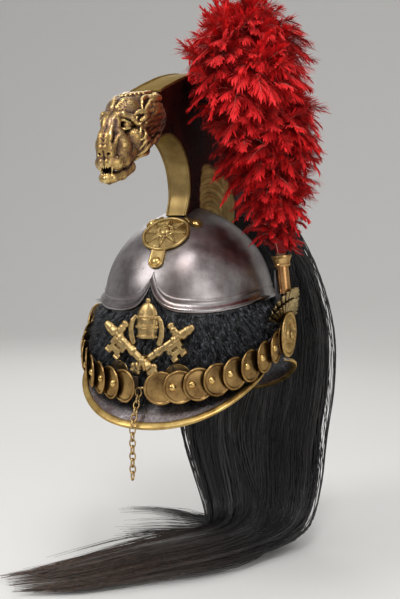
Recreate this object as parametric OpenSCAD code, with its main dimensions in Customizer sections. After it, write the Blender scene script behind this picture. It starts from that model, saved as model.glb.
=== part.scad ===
// Dragoon helmet: a steel skull in a fur turban, with a brass crest that ends in a
// lion's head, scale chin straps, a feather plume and a long horsehair mane.
// Millimetres. The origin is the centre of the head opening, +Z is up and the face
// looks along -Y, so +X is the wearer's left.

/* [Skull] */
// Half width of the skull above its rim
skull_a = 87; // [82:0.5:92]
// Half depth of the skull above its rim
skull_b = 101; // [96:0.5:106]
// Height of the rim at the ears
rim_z = 88; // [84:1:94]
// Height of the dome above the rim
dome_h = 95; // [90:1:102]
// Thickness of the skull's steel
skull_t = 1.2; // [0.8:0.1:1.6]
// How far the rolled rim stands out
rim_out = 5; // [4:0.5:6]
// How far the two front lobes hang below the rim at the ears
lobe_drop = 9; // [5:1:12]
// Rise of the cusp between the two lobes
cusp_rise = 27; // [20:1:30]

/* [Base band and turban] */
// Thickness of the steel base band
band_t = 1; // [0.8:0.1:1.4]
// How far the base band reaches up inside the skull
band_lap = 6; // [4:1:8]
// How far the band's lower edge rises over the ears
ear_lift = 24; // [18:1:28]
// Depth of the fur at the turban's foot
fur_foot = 13.5; // [11:0.5:14.5]
// Depth of the fur at the turban's top
fur_head = 5; // [4:0.5:6]
// Height of the turban's foot above the band's lower edge
fur_z = 4; // [3:0.5:6]

/* [Visor and neck guard] */
// Reach of the visor beyond the band
visor_reach = 30; // [26:1:32]
// Fall of the visor's tip
visor_drop = 29; // [24:1:34]
// Half angle that the visor spans
visor_half = 78; // [70:1:80]
// Reach of the neck guard beyond the band
guard_reach = 30; // [26:1:32]
// Fall of the neck guard's tip
guard_drop = 34; // [28:1:38]
// Half angle that the neck guard spans
guard_half = 82; // [76:1:84]
// Thickness of the visor's and the neck guard's steel
brim_t = 1.2; // [0.8:0.1:1.6]
// Width of the brass binding on their edges
binding_w = 6; // [4:0.5:7]
// Thickness of the binding's brass
binding_t = 0.8; // [0.6:0.1:1]

/* [Crest] */
// Half width of the crest at its foot
crest_foot = 10; // [8:0.5:11]
// Half width of the crest at its top
crest_head = 15; // [13:0.5:17]
// Thickness of the crest's side plates
crest_t = 1; // [0.8:0.1:1.4]
// Thickness of the crest's front and top strips
strip_t = 1.4; // [1:0.1:1.8]
// Width of the raised bead along each strip's edges
strip_bead = 2.6; // [2:0.2:3.2]
// Embossed ribs on each side of the crest
rib_count = 5; // [3:1:6]
// Radius of the round lugs that screw the crest down
lug_r = 7; // [6:0.5:8]
// Radius of the domed screw heads in the lugs
screw_r = 4; // [3:0.5:4.5]

/* [Rosette] */
// Radius of the star rosette
star_r = 25; // [22:0.5:27]
// Rays of the star
star_rays = 8; // [6:1:12]
// Width of the rosette's tongue
tongue_w = 16; // [13:1:18]
// Length of the tongue below the rosette
tongue_len = 15; // [12:1:18]

/* [Badge] */
// Height of the domed crown
crown_h = 32; // [28:1:36]
// Largest radius of the crown
crown_r = 12.5; // [11:0.5:14]
// Length of each key
key_len = 67; // [62:1:70]
// Radius of each key's shank
key_r = 3.2; // [2.6:0.2:3.4]

/* [Scale straps] */
// Scales on each chin strap
scale_count = 9; // [7:1:9]
// Radius of a scale
scale_r = 16.5; // [15:0.25:17]
// Thickness of a scale
scale_t = 0.7; // [0.5:0.1:0.9]
// Height of the leather strap behind the scales
strap_h = 20; // [16:1:22]
// Thickness of the leather
leather_t = 2; // [1.5:0.25:2.5]
// Radius of the ear bosses
boss_r = 24; // [21:0.5:25]
// Radius of the post that a boss turns on
post_r = 3; // [2.5:0.25:3.5]

/* [Chain] */
// Links of the hook chain
link_count = 13; // [9:1:14]
// Outer length of a link
link_len = 10; // [9:0.25:11]
// Radius of the link wire
wire_r = 0.9; // [0.7:0.05:1]

/* [Plume and mane] */
// Height of the plume's feathers above the cup
plume_h = 254; // [230:2:270]
// Inside radius of the plume socket
socket_r = 5; // [4:0.25:5.5]
// Height of the socket tube under the cup
socket_len = 36; // [30:1:38]
// Radius of the pleated cockade
fan_r = 40; // [34:1:42]
// Pleats of the cockade
fan_pleats = 13; // [9:1:15]

/* [Hidden] */

steel = "dimgray";
brass = "darkgoldenrod";
fur = "black";
red = "firebrick";
hide = "saddlebrown";

seat = 0.05;                      // gap left where two curved faces rest on each other
run = 0.08;                       // clearance of a turning or sliding fit
head_n = 72;                      // steps round the head
brim_n = 36;                      // steps round the visor or the neck guard
crown_z = rim_z + dome_h;         // top of the skull
band_a = skull_a - skull_t - seat;
band_b = skull_b - skull_t - seat;

// Angles round the head, 0 at the front, closer together where the rim has its cusp
head_angles = [for (i = [0:head_n - 1]) let (u = 2 * i / head_n - 1) 180 * sign(u) * pow(abs(u), 1.4)];

// A point at offset o outside the band's ellipse, at angle p from the front
function ring(o, p, z) = [(band_a + o) * sin(p), -(band_b + o) * cos(p), z];

// Width of the dome at height z, as a share of its width at the rim
function dome(z, h = dome_h) = z <= rim_z ? 1 : pow(max(0, 1 - pow((z - rim_z) / h, 2)), 0.625);

// Height of the dome over the point x, y
function dome_z(x, y) = rim_z + dome_h *
    sqrt(max(0, 1 - pow(sqrt(pow(x / skull_a, 2) + pow(y / skull_b, 2)), 1.6)));

// Lower edge of the skull, with two front lobes that meet in a cusp
function rim_edge(p) = let (q = abs(p), s = min(1, max(0, (q - 30) / 60)))
    rim_z - lobe_drop * (1 + cos(180 * s)) / 2 + cusp_rise * exp(-q / 6);

// Lower edge of the base band, which rises over the ears
function foot(p) = ear_lift * pow(abs(sin(p)), 3.4);

// Six times the volume that a list of faces encloses, negative where they face inwards
function enclosed(v, faces) =
    let (t = [for (f = faces, k = [1:len(f) - 2]) cross(v[f[0]], v[f[k]]) * v[f[k + 1]]]) t * [for (x = t) 1];

// A solid skinned over rows of points; each row is a closed loop of equal length
module skin(rows, closed = false) {
    n = len(rows);
    m = len(rows[0]);
    last = closed ? n - 1 : n - 2;
    sides = [for (i = [0:last], j = [0:m - 1]) let (k = (i + 1) % n, l = (j + 1) % m)
        each [[i * m + j, k * m + j, k * m + l], [i * m + j, k * m + l, i * m + l]]];
    ends = closed ? [] : [[for (j = [0:m - 1]) j], [for (j = [m - 1:-1:0]) (n - 1) * m + j]];
    v = [for (r = rows) each r];
    faces = concat(sides, ends);
    polyhedron(points = v, convexity = 6,
        faces = enclosed(v, faces) < 0 ? faces : [for (f = faces) [for (k = [len(f) - 1:-1:0]) f[k]]]);
}

// A smooth curve through points of any dimension, with k steps between two of them
function spline_at(a, b, c, d, t) =
    (2 * b + (c - a) * t + (2 * a - 5 * b + 4 * c - d) * t * t + (3 * b - a - 3 * c + d) * t * t * t) / 2;
function spline(p, k) = let (e = len(p) - 1) concat(
    [for (i = [0:e - 1], j = [0:k - 1])
        spline_at(p[max(0, i - 1)], p[i], p[i + 1], p[min(e, i + 2)], j / k)], [p[e]]);

// Direction from left to right neighbour at point i of a path
function along(p, i) = let (v = p[min(len(p) - 1, i + 1)] - p[max(0, i - 1)]) v / norm(v);

// Heading of the outward normal of the ellipse a, b at angle p
function heading(a, b, p) = atan2(-cos(p) / b, sin(p) / a);

// Puts children on the ring, their +Z outwards and their +X down
module on_ring(a, b, p, z, tilt = 0)
    translate([a * sin(p), -b * cos(p), z]) rotate([0, 0, heading(a, b, p)])
        rotate([0, 90, 0]) rotate([tilt, 0, 0]) children();

// Puts children on the dome over the point x, y, their +Z along its normal
module on_dome(x, y, lift = 0) {
    d = 0.5;
    v = [(dome_z(x - d, y) - dome_z(x + d, y)) / (2 * d), (dome_z(x, y - d) - dome_z(x, y + d)) / (2 * d), 1];
    translate([x, y, dome_z(x, y)]) rotate([0, acos(1 / norm(v)), atan2(v[1], v[0])])
        translate([0, 0, lift]) children();
}

// A domed head of radius r and height h, on a cylinder of length under
module domed(r, h, under = 0) {
    ball = (r * r + h * h) / (2 * h);
    rotate_extrude($fn = 32) intersection() {
        union() {
            translate([0, h - ball]) circle(ball, $fn = 64);
            translate([0, -under]) square([r, under + 0.01]);
        }
        translate([0, -under]) square([r, h + under]);
    }
}

// Steel skull: one raised shell with a rolled rim
rim_profile = [[0, 0.6], [1, 0.92], [3, 1], [5, 0.92], [6.5, 0.5], [8, 0.24], [12, 0.06]];
dome_steps = [0.08, 0.2, 0.33, 0.46, 0.59, 0.71, 0.81, 0.89, 0.95, 0.985, 0.999];
inner_steps = [0.03, 0.2, 0.4, 0.6, 0.77, 0.9, 0.97, 0.998];

function skull_point(p, z, out, wall) = let (s = dome(z, dome_h - wall))
    [(skull_a - wall + out) * s * sin(p), -(skull_b - wall + out) * s * cos(p), z];

module skull() color(steel) skin([for (p = head_angles) let (e = rim_edge(p), z0 = e + 12) concat(
    [for (r = rim_profile) skull_point(p, e + r[0], r[1] * rim_out, 0)],
    [for (s = dome_steps) skull_point(p, z0 + (crown_z - z0) * s, 0, 0)],
    [for (i = [len(inner_steps) - 1:-1:0])
        skull_point(p, z0 + (crown_z - skull_t - z0) * inner_steps[i], 0, skull_t)],
    [skull_point(p, e + 8, 0, skull_t), skull_point(p, e + 1, rim_out * 0.3, skull_t)])], closed = true);

// Base band: the steel ring that carries the turban, the visor and the neck guard
function band_point(p, z, wall) =
    let (s = dome(z, dome_h - skull_t)) [(band_a - wall) * s * sin(p), -(band_b - wall) * s * cos(p), z];

module base_band() color(steel) skin([for (p = head_angles) let (e = rim_edge(p) + 8)
    [band_point(p, foot(p), 0), band_point(p, min(e, rim_z) - 1, 0), band_point(p, e + band_lap, seat),
     band_point(p, e + band_lap, band_t), band_point(p, min(e, rim_z) - 1, band_t),
     band_point(p, foot(p), band_t)]], closed = true);

// Fur turban: a soft ring round the band, under the skull's rim
flange_h = 8;
flange_gap = 0.1;
fur_in = brim_t + flange_gap + 0.25;

module fur_turban() color(fur) difference() {
    skin([for (p = head_angles) let (z0 = foot(p) + fur_z, z1 = rim_edge(p) - 0.3, h = z1 - z0)
        [ring(fur_in, p, z0), ring(fur_foot * 0.8, p, z0), ring(fur_foot, p, z0 + h * 0.14),
         ring(fur_foot * 0.86, p, z0 + h * 0.5), ring(fur_head + 1, p, z0 + h * 0.86),
         ring(fur_head, p, z1), ring(fur_in, p, z1)]], closed = true);
    for (s = [-1, 1]) translate([s * (band_a + fur_foot / 2), 0, boss_z]) rotate([0, 90, 0])
        cylinder(h = 3 * fur_foot, r = shoulder_r + 0.5, center = true, $fn = 32);
}

// Visor and neck guard: steel brims, each with a flange against the band
function taper(t, n) = sqrt(max(0, 1 - pow(abs(t), n)));
function brim_edge(p, t, n, reach, drop) = let (k = taper(t, n))
    [2 + (reach - 2) * k, foot(p) + 1 - drop * pow(cos(p), 2) * k];

module brim(mid, half, n, reach, drop) color(steel) skin([for (i = [0:brim_n])
    let (t = 2 * i / brim_n - 1, p = mid + t * half, g = brim_edge(p, t, n, reach, drop), z0 = foot(p) + 1)
    concat([ring(flange_gap, p, z0 + flange_h), ring(flange_gap, p, z0)],
        [for (u = [0.35, 0.7, 1])
            ring(g[0] * u - 0.5 * brim_t * u, p, z0 + (g[1] - z0) * pow(u, 1.2) - brim_t)],
        [for (u = [1, 0.7, 0.35]) ring(g[0] * u, p, z0 + (g[1] - z0) * pow(u, 1.2))],
        [ring(brim_t + flange_gap, p, z0 + 0.6), ring(brim_t + flange_gap, p, z0 + flange_h)])]);

// Brass binding folded over a brim's edge
module binding(mid, half, n, reach, drop) color(brass) skin([for (i = [0:brim_n])
    let (t = (2 * i / brim_n - 1) * 0.985, p = mid + t * half, g = brim_edge(p, t, n, reach, drop),
        fall = atan2(drop * pow(cos(p), 2) * 1.2, reach), w = min(binding_w, g[0] * 0.6),
        h1 = brim_t / 2 + 0.32, h2 = h1 + binding_t, c = [g[0] - 0.25 * brim_t, g[1] - brim_t / 2])
    [for (q = [[-w, h1], [-w, h2], [0.4, h2], [1.5, h1 * 0.7], [1.5, -h1 * 0.7], [0.4, -h2],
        [-w * 0.6, -h2], [-w * 0.6, -h1], [0.3, -h1], [0.3, h1]])
        ring(c[0] + q[0] * cos(fall) + q[1] * sin(fall), p, c[1] - q[0] * sin(fall) + q[1] * cos(fall))]]);

module visor() brim(0, visor_half, 3.4, visor_reach, visor_drop);
module visor_binding() binding(0, visor_half, 3.4, visor_reach, visor_drop);
module neck_guard() brim(180, guard_half, 8, guard_reach, guard_drop);
module neck_guard_binding() binding(180, guard_half, 8, guard_reach, guard_drop);

// Rivets that hold the two brims, seen inside the band
module band_rivets() color(steel) for (p = [-60, -30, 0, 30, 60, 120, 150, 180, 210, 240])
    on_ring(band_a - band_t - 0.25, band_b - band_t - 0.25, p, foot(p) + 5) rotate([180, 0, 0]) {
        domed(2.2, 1.2);
        translate([0, 0, -2]) cylinder(h = 2.5, r = 1, $fn = 24);
    }

// Leather liner: a sewn band, tongues and the lace that draws them together
liner_t = 1.6;
liner_z = 8;
liner_h = 34;
tongue_n = 8;

module liner_band() color(hide) skin([for (p = head_angles)
    let (a = -band_t - seat, b = a - liner_t, z0 = foot(p) + liner_z, z1 = z0 + liner_h)
    [ring(a, p, z0), ring(a, p, z1), ring(b, p, z1), ring(b, p, z0)]], closed = true);

function tongue_point(p, u, wall) = let (g = 1 - 0.62 * pow(u, 1.6), o = -band_t - liner_t - 0.3 - wall)
    [(band_a + o) * sin(p) * g, -(band_b + o) * cos(p) * g,
     foot(p) * (1 - u) + liner_z + liner_h * 0.6 + 88 * u];

module liner_tongues() color(hide) for (k = [0:tongue_n - 1]) let (mid = (k + 0.5) * 360 / tongue_n)
    skin([for (u = [0, 0.25, 0.5, 0.75, 1]) let (w = 0.45 * (1 - 0.5 * u) * 360 / tongue_n)
        [tongue_point(mid - w, u, 0), tongue_point(mid, u, 0), tongue_point(mid + w, u, 0),
         tongue_point(mid + w, u, 1.4), tongue_point(mid, u, 1.4), tongue_point(mid - w, u, 1.4)]]);

module liner_lace() color(hide) let (g = 0.38, z = liner_z + liner_h * 0.6 + 88)
    translate([0, 0, z + 1.3]) scale([1, (band_b - 3) / (band_a - 3), 1]) rotate_extrude($fn = 48)
        translate([(band_a - 3) * g, 0]) circle(1.2, $fn = 8);

// Crest: two side plates closed by a front and a top strip
lean = atan2(crest_head - crest_foot, 130);
function crest_w(z) = crest_foot + (z - crown_z) * tan(lean);
inner_path = spline([[-37, crown_z - 9.5], [-28, crown_z + 12], [-34, crown_z + 40],
    [-54, crown_z + 61], [-82, crown_z + 71], [-108, crown_z + 68]], 6);
outer_path = spline([[-112, crown_z + 108], [-82, crown_z + 118], [-35, crown_z + 131], [18, crown_z + 138],
    [62, crown_z + 127], [92, crown_z + 100]], 6);
rear_path = spline([[92, crown_z + 100], [108, crown_z + 60], [112, crown_z], [105, crown_z - 50],
    [98, rim_z + 18]], 4);

module crest_outline() polygon(concat(inner_path, outer_path, rear_path,
    [for (i = [0:16]) let (y = 94 - (94 + 36) * i / 16, w = crest_w(dome_z(crest_foot, y)))
        [y, dome_z(w, y) + 0.35]]));

// Embossed ribs that fan down the lower rear of the side plates
module rib_outline(i) intersection() {
    difference() {
        circle(62 + 10 * i, $fn = 120);
        circle(57.5 + 10 * i, $fn = 120);
    }
    rotate(52) square(200);
}

module crest_side() color(brass) translate([crest_foot, 0, crown_z]) rotate([0, lean, 0])
    translate([0, 0, -crown_z]) rotate([90, 0, 90]) union() {
        linear_extrude(crest_t) crest_outline();
        translate([0, 0, crest_t / 2]) linear_extrude(crest_t / 2 + 1.2) intersection() {
            translate([28, crown_z - 62]) for (i = [0:rib_count - 1]) rib_outline(i);
            offset(delta = -4) crest_outline();
            translate([0, crown_z - 12]) square([74, 90]);
        }
    }

module crest_left_side() crest_side();
module crest_right_side() mirror([1, 0, 0]) crest_side();

// A strip with a raised bead on both edges, laid on a path in the YZ plane
module strip(path, gap) color(brass) skin([for (i = [0:len(path) - 1])
    let (t = along(path, i), v = [-t[1], t[0]], w = crest_w(path[i][1]) + crest_t + 0.6, b = strip_bead)
    [for (q = [[-w, 0], [w, 0], [w, 1.8], [w - b * 0.5, 2.3], [w - b, strip_t], [b - w, strip_t],
        [b * 0.5 - w, 2.3], [-w, 1.8]])
        [q[0], path[i][0] + v[0] * (q[1] + gap), path[i][1] + v[1] * (q[1] + gap)]]]);

module crest_front_strip() strip(inner_path, 0.12);
module crest_top_strip() strip(outer_path, 0);

lugs = [[24, -42.5], [24, 52]];
module crest_lugs() color(brass) for (s = [-1, 1], g = lugs) {
    on_dome(s * g[0], g[1], 0.08) difference() {
        cylinder(h = 1.4, r = lug_r, $fn = 32);
        translate([0, 0, -1]) cylinder(h = 4, r = 2, $fn = 24);
    }
    hull() {
        on_dome(s * (g[0] - 7.5), g[1], 0.2) cylinder(h = 1.2, r = 3.6, $fn = 16);
        on_dome(s * (crest_foot + crest_t + 2), g[1], 0.5) cylinder(h = 3, r = 2, $fn = 12);
    }
}

module crest_screws() color(steel) for (s = [-1, 1], g = lugs)
    on_dome(s * g[0], g[1], 0.08 + 1.4 + seat) domed(screw_r, 2.2);

// Lion's head that ends the crest, cast in brass
head_rows = spline([[-110.3, 272, 20, 21, 5.7], [-131, 269, 24, 25, 24], [-149, 258, 22, 23, 36],
    [-163, 247, 19, 20, 42], [-175, 236, 15, 15, 46], [-184, 226, 13, 13, 46], [-191, 219, 8, 9, 46]], 2);

module lion_head() color(brass) union() {
    skin([for (r = concat([[-96, 271, 13, 11, 5.7], [-110, 271, 14, 11.5, 5.7]], head_rows))
        let (zc = r[1] + crown_z - 183)
        [for (j = [0:19]) let (c = cos(18 * j), s = sin(18 * j))
            [r[3] * c, r[0] - r[2] * s * sin(r[4]) * 1, zc + r[2] * s * cos(r[4])]]]);
    for (s = [-1, 1]) {
        hull() {
            translate([s * 17, -134, crown_z + 104]) sphere(5, $fn = 10);
            translate([s * 21, -124, crown_z + 112]) sphere(2.5, $fn = 8);
        }
        hull() {
            translate([s * 7, -176, crown_z + 73]) sphere(4, $fn = 10);
            translate([s * 16, -166, crown_z + 70]) sphere(4, $fn = 10);
        }
        hull() {
            translate([s * 6, -186, crown_z + 34]) sphere(6, $fn = 12);
            translate([s * 13, -168, crown_z + 36]) sphere(7, $fn = 12);
        }
        translate([s * 10.5, -176, crown_z + 64]) sphere(4, $fn = 12);
        for (k = [0:4]) hull() {
            translate([s * (20 - k), -136 + 3 * k, crown_z + 60 + 10 * k]) sphere(6, $fn = 8);
            translate([s * (21 - k), -119 + k / 2, crown_z + 68 + 9 * k]) sphere(4, $fn = 8);
        }
    }
    hull() {
        translate([0, -188, crown_z + 50]) sphere(6, $fn = 12);
        translate([0, -178, crown_z + 76]) sphere(5, $fn = 12);
    }
    hull() {
        translate([0, -178, crown_z + 26]) sphere(6.5, $fn = 12);
        translate([0, -152, crown_z + 36]) sphere(10, $fn = 12);
    }
}

// Rosette: a dished star on the front of the dome, with a tongue and its stud
star_y = -64;
star_lift = 1.85;
dish = 78;
edge_slope = asin((star_r - 3) / dish);

module rosette() color(brass) on_dome(0, star_y, star_lift) {
    translate([0, 0, -dish]) rotate_extrude($fn = 64) intersection() {
        difference() {
            circle(dish + 1.4, $fn = 200);
            circle(dish, $fn = 200);
        }
        translate([0, dish * cos(edge_slope)]) square([star_r, dish]);
    }
    translate([0, 0, dish * (cos(edge_slope) - 1) + 0.9]) rotate_extrude($fn = 64)
        translate([star_r - 1.6, 0]) circle(1.8, $fn = 20);
    rotate_extrude($fn = 48) translate([8.2, 1.6]) circle(1.5, $fn = 20);
    translate([0, 0, 1]) domed(5.5, 3);
    for (k = [0:star_rays - 1]) rotate([0, 0, k * 360 / star_rays]) rotate([0, edge_slope * 0.6, 0])
        translate([0, 0, 0.7]) linear_extrude(2.2)
            polygon([[7, -1.8], [12, -3.4], [star_r - 4, 0], [12, 3.4], [7, 1.8]]);
    tongue() linear_extrude(1.4) difference() {
        hull() {
            translate([tongue_len, 0]) circle(tongue_w / 2, $fn = 32);
            translate([-2, 1 - tongue_w / 2]) square([4, tongue_w - 2]);
        }
        translate([tongue_len, 0]) circle(2.2, $fn = 24);
    }
}

// The tongue leaves the dish's edge down the slope
module tongue() translate([star_r - 3, 0, dish * (cos(edge_slope) - 1)])
    rotate([0, edge_slope, 0]) children();

module rosette_stud() color(brass) on_dome(0, star_y, star_lift) tongue() translate([tongue_len, 0, 0]) {
    translate([0, 0, 1.4 + seat]) domed(5, 2.6);
    cylinder(h = 2, r = 2.2 - seat, $fn = 24);
}

// Badge on the turban: a banded crown over two crossed keys
badge_z = 34;
badge_y = band_b + fur_foot;
badge_back = 5.5;
module on_badge(x = 0, z = 0, y = 0)
    translate([0, -badge_y, badge_z]) rotate([-badge_back, 0, 0]) translate([x, -y, z]) children();

module badge_crown() color(brass) on_badge(0, 22, 0.1) difference() {
    scale([1, 0.5, 1]) rotate_extrude($fn = 48) union() {
        polygon(concat([[0, 0]], [for (i = [0:20]) let (u = i / 20)
            [crown_r * (0.74 + 0.52 * u - 0.35 * u * u) * sqrt(1 - pow(u, 4)), crown_h * u]]));
        for (k = [0:2]) translate([crown_r * (0.7 + 0.12 * k), 1.6 + crown_h * 0.27 * k])
            circle(1.6, $fn = 20);
        translate([0, crown_h + 1.4]) intersection() {
            circle(2.4, $fn = 32);
            translate([0, -4]) square(8);
        }
    }
    translate([-2 * crown_r, 0, -crown_h]) cube([4 * crown_r, 20, 3 * crown_h]);
}

key_angle = 38;
key_bend = 9;
key_flat = 0.6;
key_tail = 0.175;
key_gap = 2 * key_r * key_flat;
module key_shape() {
    rotate([0, 0, key_bend]) scale([1, key_flat, 1]) {
        rotate([0, 90, 0]) cylinder(h = (1 - key_tail) * key_len, r = key_r, $fn = 16);
        for (x = [0.2, 0.55, 0.66]) translate([x * key_len, 0, 0]) rotate([0, 90, 0])
            rotate_extrude($fn = 16) translate([key_r, 0]) circle(1.2, $fn = 6);
        translate([0.28 * key_len, 2, -18.5]) rotate([90, 0, 0]) linear_extrude(4) difference() {
            square([17, 17.5]);
            translate([6, -1]) square([5, 7]);
            translate([-1, 5]) square([4, 4]);
            translate([14, 5]) square([5, 4]);
        }
        translate([0.6 * key_len, 0, 0]) cylinder(h = 14, r = key_r * 0.9, $fn = 16);
    }
    scale([1, key_flat, 1]) {
        rotate([0, -90, 0]) cylinder(h = key_tail * key_len, r = key_r, $fn = 16);
        for (q = [[0, -3], [0, 3], [-3.4, 0]]) translate([q[0] - key_tail * key_len, 0, q[1]])
            sphere(r = 2.8, $fn = 12);
    }
}

module badge_key_left() color(brass) on_badge(0, 0, key_gap / 2 + 1.1) rotate([0, -key_angle, 0]) key_shape();
module badge_key_right() color(brass) on_badge(0, 0, key_gap * 1.5 + 1.26) mirror([1, 0, 0])
    rotate([0, -key_angle, 0]) key_shape();

module badge_lappets() color(brass) for (s = [-1, 1]) on_badge(s * 14.7, 40, 1.9) scale([1, 0.5, 1]) hull() {
    sphere(2.2, $fn = 12);
    translate([s * 0.6, 0, -19]) sphere(2.6, $fn = 12);
}

module badge_prongs() color(brass) for (q = [[-9, -7], [9, -7], [0, 30]]) on_badge(q[0], q[1], 0)
    rotate([90, 0, 0]) translate([0, 0, 3.4 - fur_foot]) cylinder(h = fur_foot - 3.4, r = 0.8, $fn = 16);

// Two plain ringed discs on the turban, half hidden by the straps
disc_r = 13.5;
module turban_discs() color(brass) for (s = [-1, 1])
    on_ring(band_a + fur_foot + 0.1, band_b + fur_foot + 0.1, s * 18, 19.5) rotate_extrude($fn = 48) union() {
        square([disc_r - 1, 0.9]);
        translate([disc_r - 1, 0.8]) circle(0.8, $fn = 20);
    }

// Bosses that the chin straps turn on
boss_z = 52;
boss_x = band_a + 23.5;
shoulder_r = 6;
hub_r = 6;
strap_a = band_a + 21.3;
strap_b = band_b + 25.3;
function strap_z(p) = 10 + (boss_z - 10) * pow(1 - cos(p), 1.13);

module boss_post() color(steel) translate([0, 0, boss_z]) rotate([0, 90, 0]) union() {
    translate([0, 0, band_a + seat]) cylinder(h = fur_foot + 1.2, r = shoulder_r, $fn = 32);
    cylinder_between(band_a + seat, boss_x + 5, post_r);
    translate([0, 0, boss_x + 4.6]) domed(5.5, 3);
}
module cylinder_between(a, b, r) translate([0, 0, a]) cylinder(h = b - a, r = r, $fn = 32);

module ear_boss() color(brass) translate([0, 0, boss_z]) rotate([0, 90, 0]) difference() {
    union() {
        translate([0, 0, boss_x]) rotate_extrude($fn = 64) polygon([[0, 1.5], [boss_r - 3, 0],
            [boss_r - 1.2, -0.6], [boss_r, 0.4], [boss_r - 0.4, 2], [boss_r - 2.6, 2.6], [boss_r - 4.4, 1.4],
            [9, 3.2], [8, 4.4], [0, 4.4]]);
        for (k = [0:11]) rotate([0, 0, 30 * k]) translate([boss_r * 0.6, 0, boss_x + 1.6]) rotate([0, 5, 0])
            scale([5.2, 2.3, 1.6]) sphere(r = 1, $fn = 24);
        translate([0, 0, boss_x - 6]) cylinder(h = 8, r = hub_r, $fn = 32);
    }
    translate([0, 0, boss_x - 10]) cylinder(h = 20, r = post_r + run, $fn = 32);
}

module boss_post_left() boss_post();
module boss_post_right() mirror([1, 0, 0]) boss_post();
module ear_boss_left() ear_boss();
module ear_boss_right() mirror([1, 0, 0]) ear_boss();

// Chin strap: leather with overlapping scales, hinged at the boss's front edge
scale_tilt = 11.5;
scale_first = 10.5;
scale_step = 9.53;
stud_back = 9.5;                  // from a scale's front edge to its stud
hinge_y = -boss_r - 1.5;
hinge_p = acos(-hinge_y / strap_b);
hinge_x = strap_a * sin(hinge_p) + 0.1;
bead_r = 1.2;
function scale_p(i) = scale_first + scale_step * i;
last_y = -8.5;

module strap_tab() color(hide) let (z = strap_z(hinge_p), h = strap_h - 4) difference() {
    union() {
        translate([hinge_x, hinge_y, z - h / 2]) cylinder(h = h, r = bead_r, $fn = 24);
        hull() {
            translate([hinge_x - 0.8, hinge_y, z - h / 2]) cube([1.6, 1, h]);
            translate([boss_x - 5.1, -2, boss_z - 9]) cube([1.6, 1, 18]);
        }
        translate([boss_x - 5.1, 0, boss_z]) rotate([0, 90, 0]) cylinder(h = 1.6, r = 11, $fn = 32);
    }
    translate([boss_x - 20, 0, boss_z]) rotate([0, 90, 0]) cylinder(h = 30, r = hub_r + seat, $fn = 32);
}

// The last scale lies flat under the boss and turns with it
module strap_end_scale() color(brass) difference() {
    translate([boss_x - 3.2, last_y, boss_z - 2.5]) rotate([0, 90, 0])
        rotate_extrude($fn = 48) scale_profile();
    translate([boss_x - 20, 0, boss_z]) rotate([0, 90, 0]) cylinder(h = 30, r = hub_r + seat, $fn = 32);
}

module strap_leather() color(hide) skin([for (i = [0:24])
    let (p = 3 + (hinge_p - 3) * i / 24, a = strap_a - 3.2, b = strap_b - 3.2, z = strap_z(p),
        h = strap_h / 2)
    [[a * sin(p), -b * cos(p), z - h], [a * sin(p), -b * cos(p), z + h],
     [(a - leather_t) * sin(p), -(b - leather_t) * cos(p), z + h],
     [(a - leather_t) * sin(p), -(b - leather_t) * cos(p), z - h]]]);

module scale_profile() union() {
    square([scale_r - 0.7, scale_t]);
    translate([scale_r - 0.75, 0.25 + scale_t / 2]) circle(0.75, $fn = 20);
}

// A scale has a hole for its own rivet and one for the rivet of the scale that laps it
module one_scale(i) let (p = scale_p(i), q = scale_p(i + 1), rise = strap_z(q) - strap_z(p),
    pitch = norm([strap_a * (sin(q) - sin(p)), strap_b * (cos(q) - cos(p))])) difference() {
    rotate_extrude($fn = 48) scale_profile();
    translate([0, i > 0 ? stud_back - scale_r : 2, -1]) cylinder(h = 4, r = 1.5 + seat, $fn = 20);
    translate([-rise, pitch + stud_back - scale_r, -1]) cylinder(h = 4, r = 2.5, $fn = 20);
}

module strap_scales() color(brass) difference() {
    for (i = [0:scale_count - 2])
        on_ring(strap_a, strap_b, scale_p(i), strap_z(scale_p(i)), -scale_tilt) one_scale(i);
    translate([0, hinge_y - bead_r - 0.4, 0]) cube([400, 100, 400]);
}

module strap_studs() color(brass) {
    for (i = [1:scale_count - 2]) on_ring(strap_a, strap_b, scale_p(i), strap_z(scale_p(i)), -scale_tilt)
        translate([0, stud_back - scale_r, 0]) {
            translate([0, 0, scale_t + seat]) domed(3.2, 2.2);
            translate([0, 0, -4.55]) cylinder(h = 5.55, r = 1.5, $fn = 20);
        }
    on_ring(strap_a, strap_b, scale_p(0), strap_z(scale_p(0)), -scale_tilt)
        translate([0, 2, -2.62]) cylinder(h = 3.2, r = 1.5, $fn = 20);
}

module strap_tab_left() strap_tab();
module strap_tab_right() mirror([1, 0, 0]) strap_tab();
module strap_end_scale_left() strap_end_scale();
module strap_end_scale_right() mirror([1, 0, 0]) strap_end_scale();
module strap_leather_left() strap_leather();
module strap_leather_right() mirror([1, 0, 0]) strap_leather();
module strap_scales_left() strap_scales();
module strap_scales_right() mirror([1, 0, 0]) strap_scales();
module strap_studs_left() strap_studs();
module strap_studs_right() mirror([1, 0, 0]) strap_studs();

// Hook on the left strap's end, wire loop and chain on the right strap's end
strap_face = strap_b - 3.2;
hook_r = 1.2;
loop_r = 0.8;
loop_c = [-4.4, -strap_face - loop_r + 0.1, 5];
chain_slack = 0.08;
upper_links = 5;
link_pitch = link_len - 4 * wire_r - chain_slack;
link_half = link_len / 2 - wire_r;
chain_fall = [0, -0.447, -0.894];
chain_top = loop_c + [0, -0.25, -4.25];
link_first = link_half - 1.25 * loop_r - wire_r - 0.1;
chain_hinge = chain_top + chain_fall * (link_first + link_pitch * upper_links - link_half);

module strap_hook() color(brass) translate([-1, -strap_face - hook_r + 0.1, 9.5]) rotate([0, 90, 0])
    cylinder(h = 15, r = hook_r, $fn = 20);
module strap_loop() color(brass) translate(loop_c) rotate([90, 0, 0]) scale([1, 1.25, 1])
    rotate_extrude($fn = 32) translate([3.4, 0]) circle(loop_r, $fn = 16);

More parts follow.
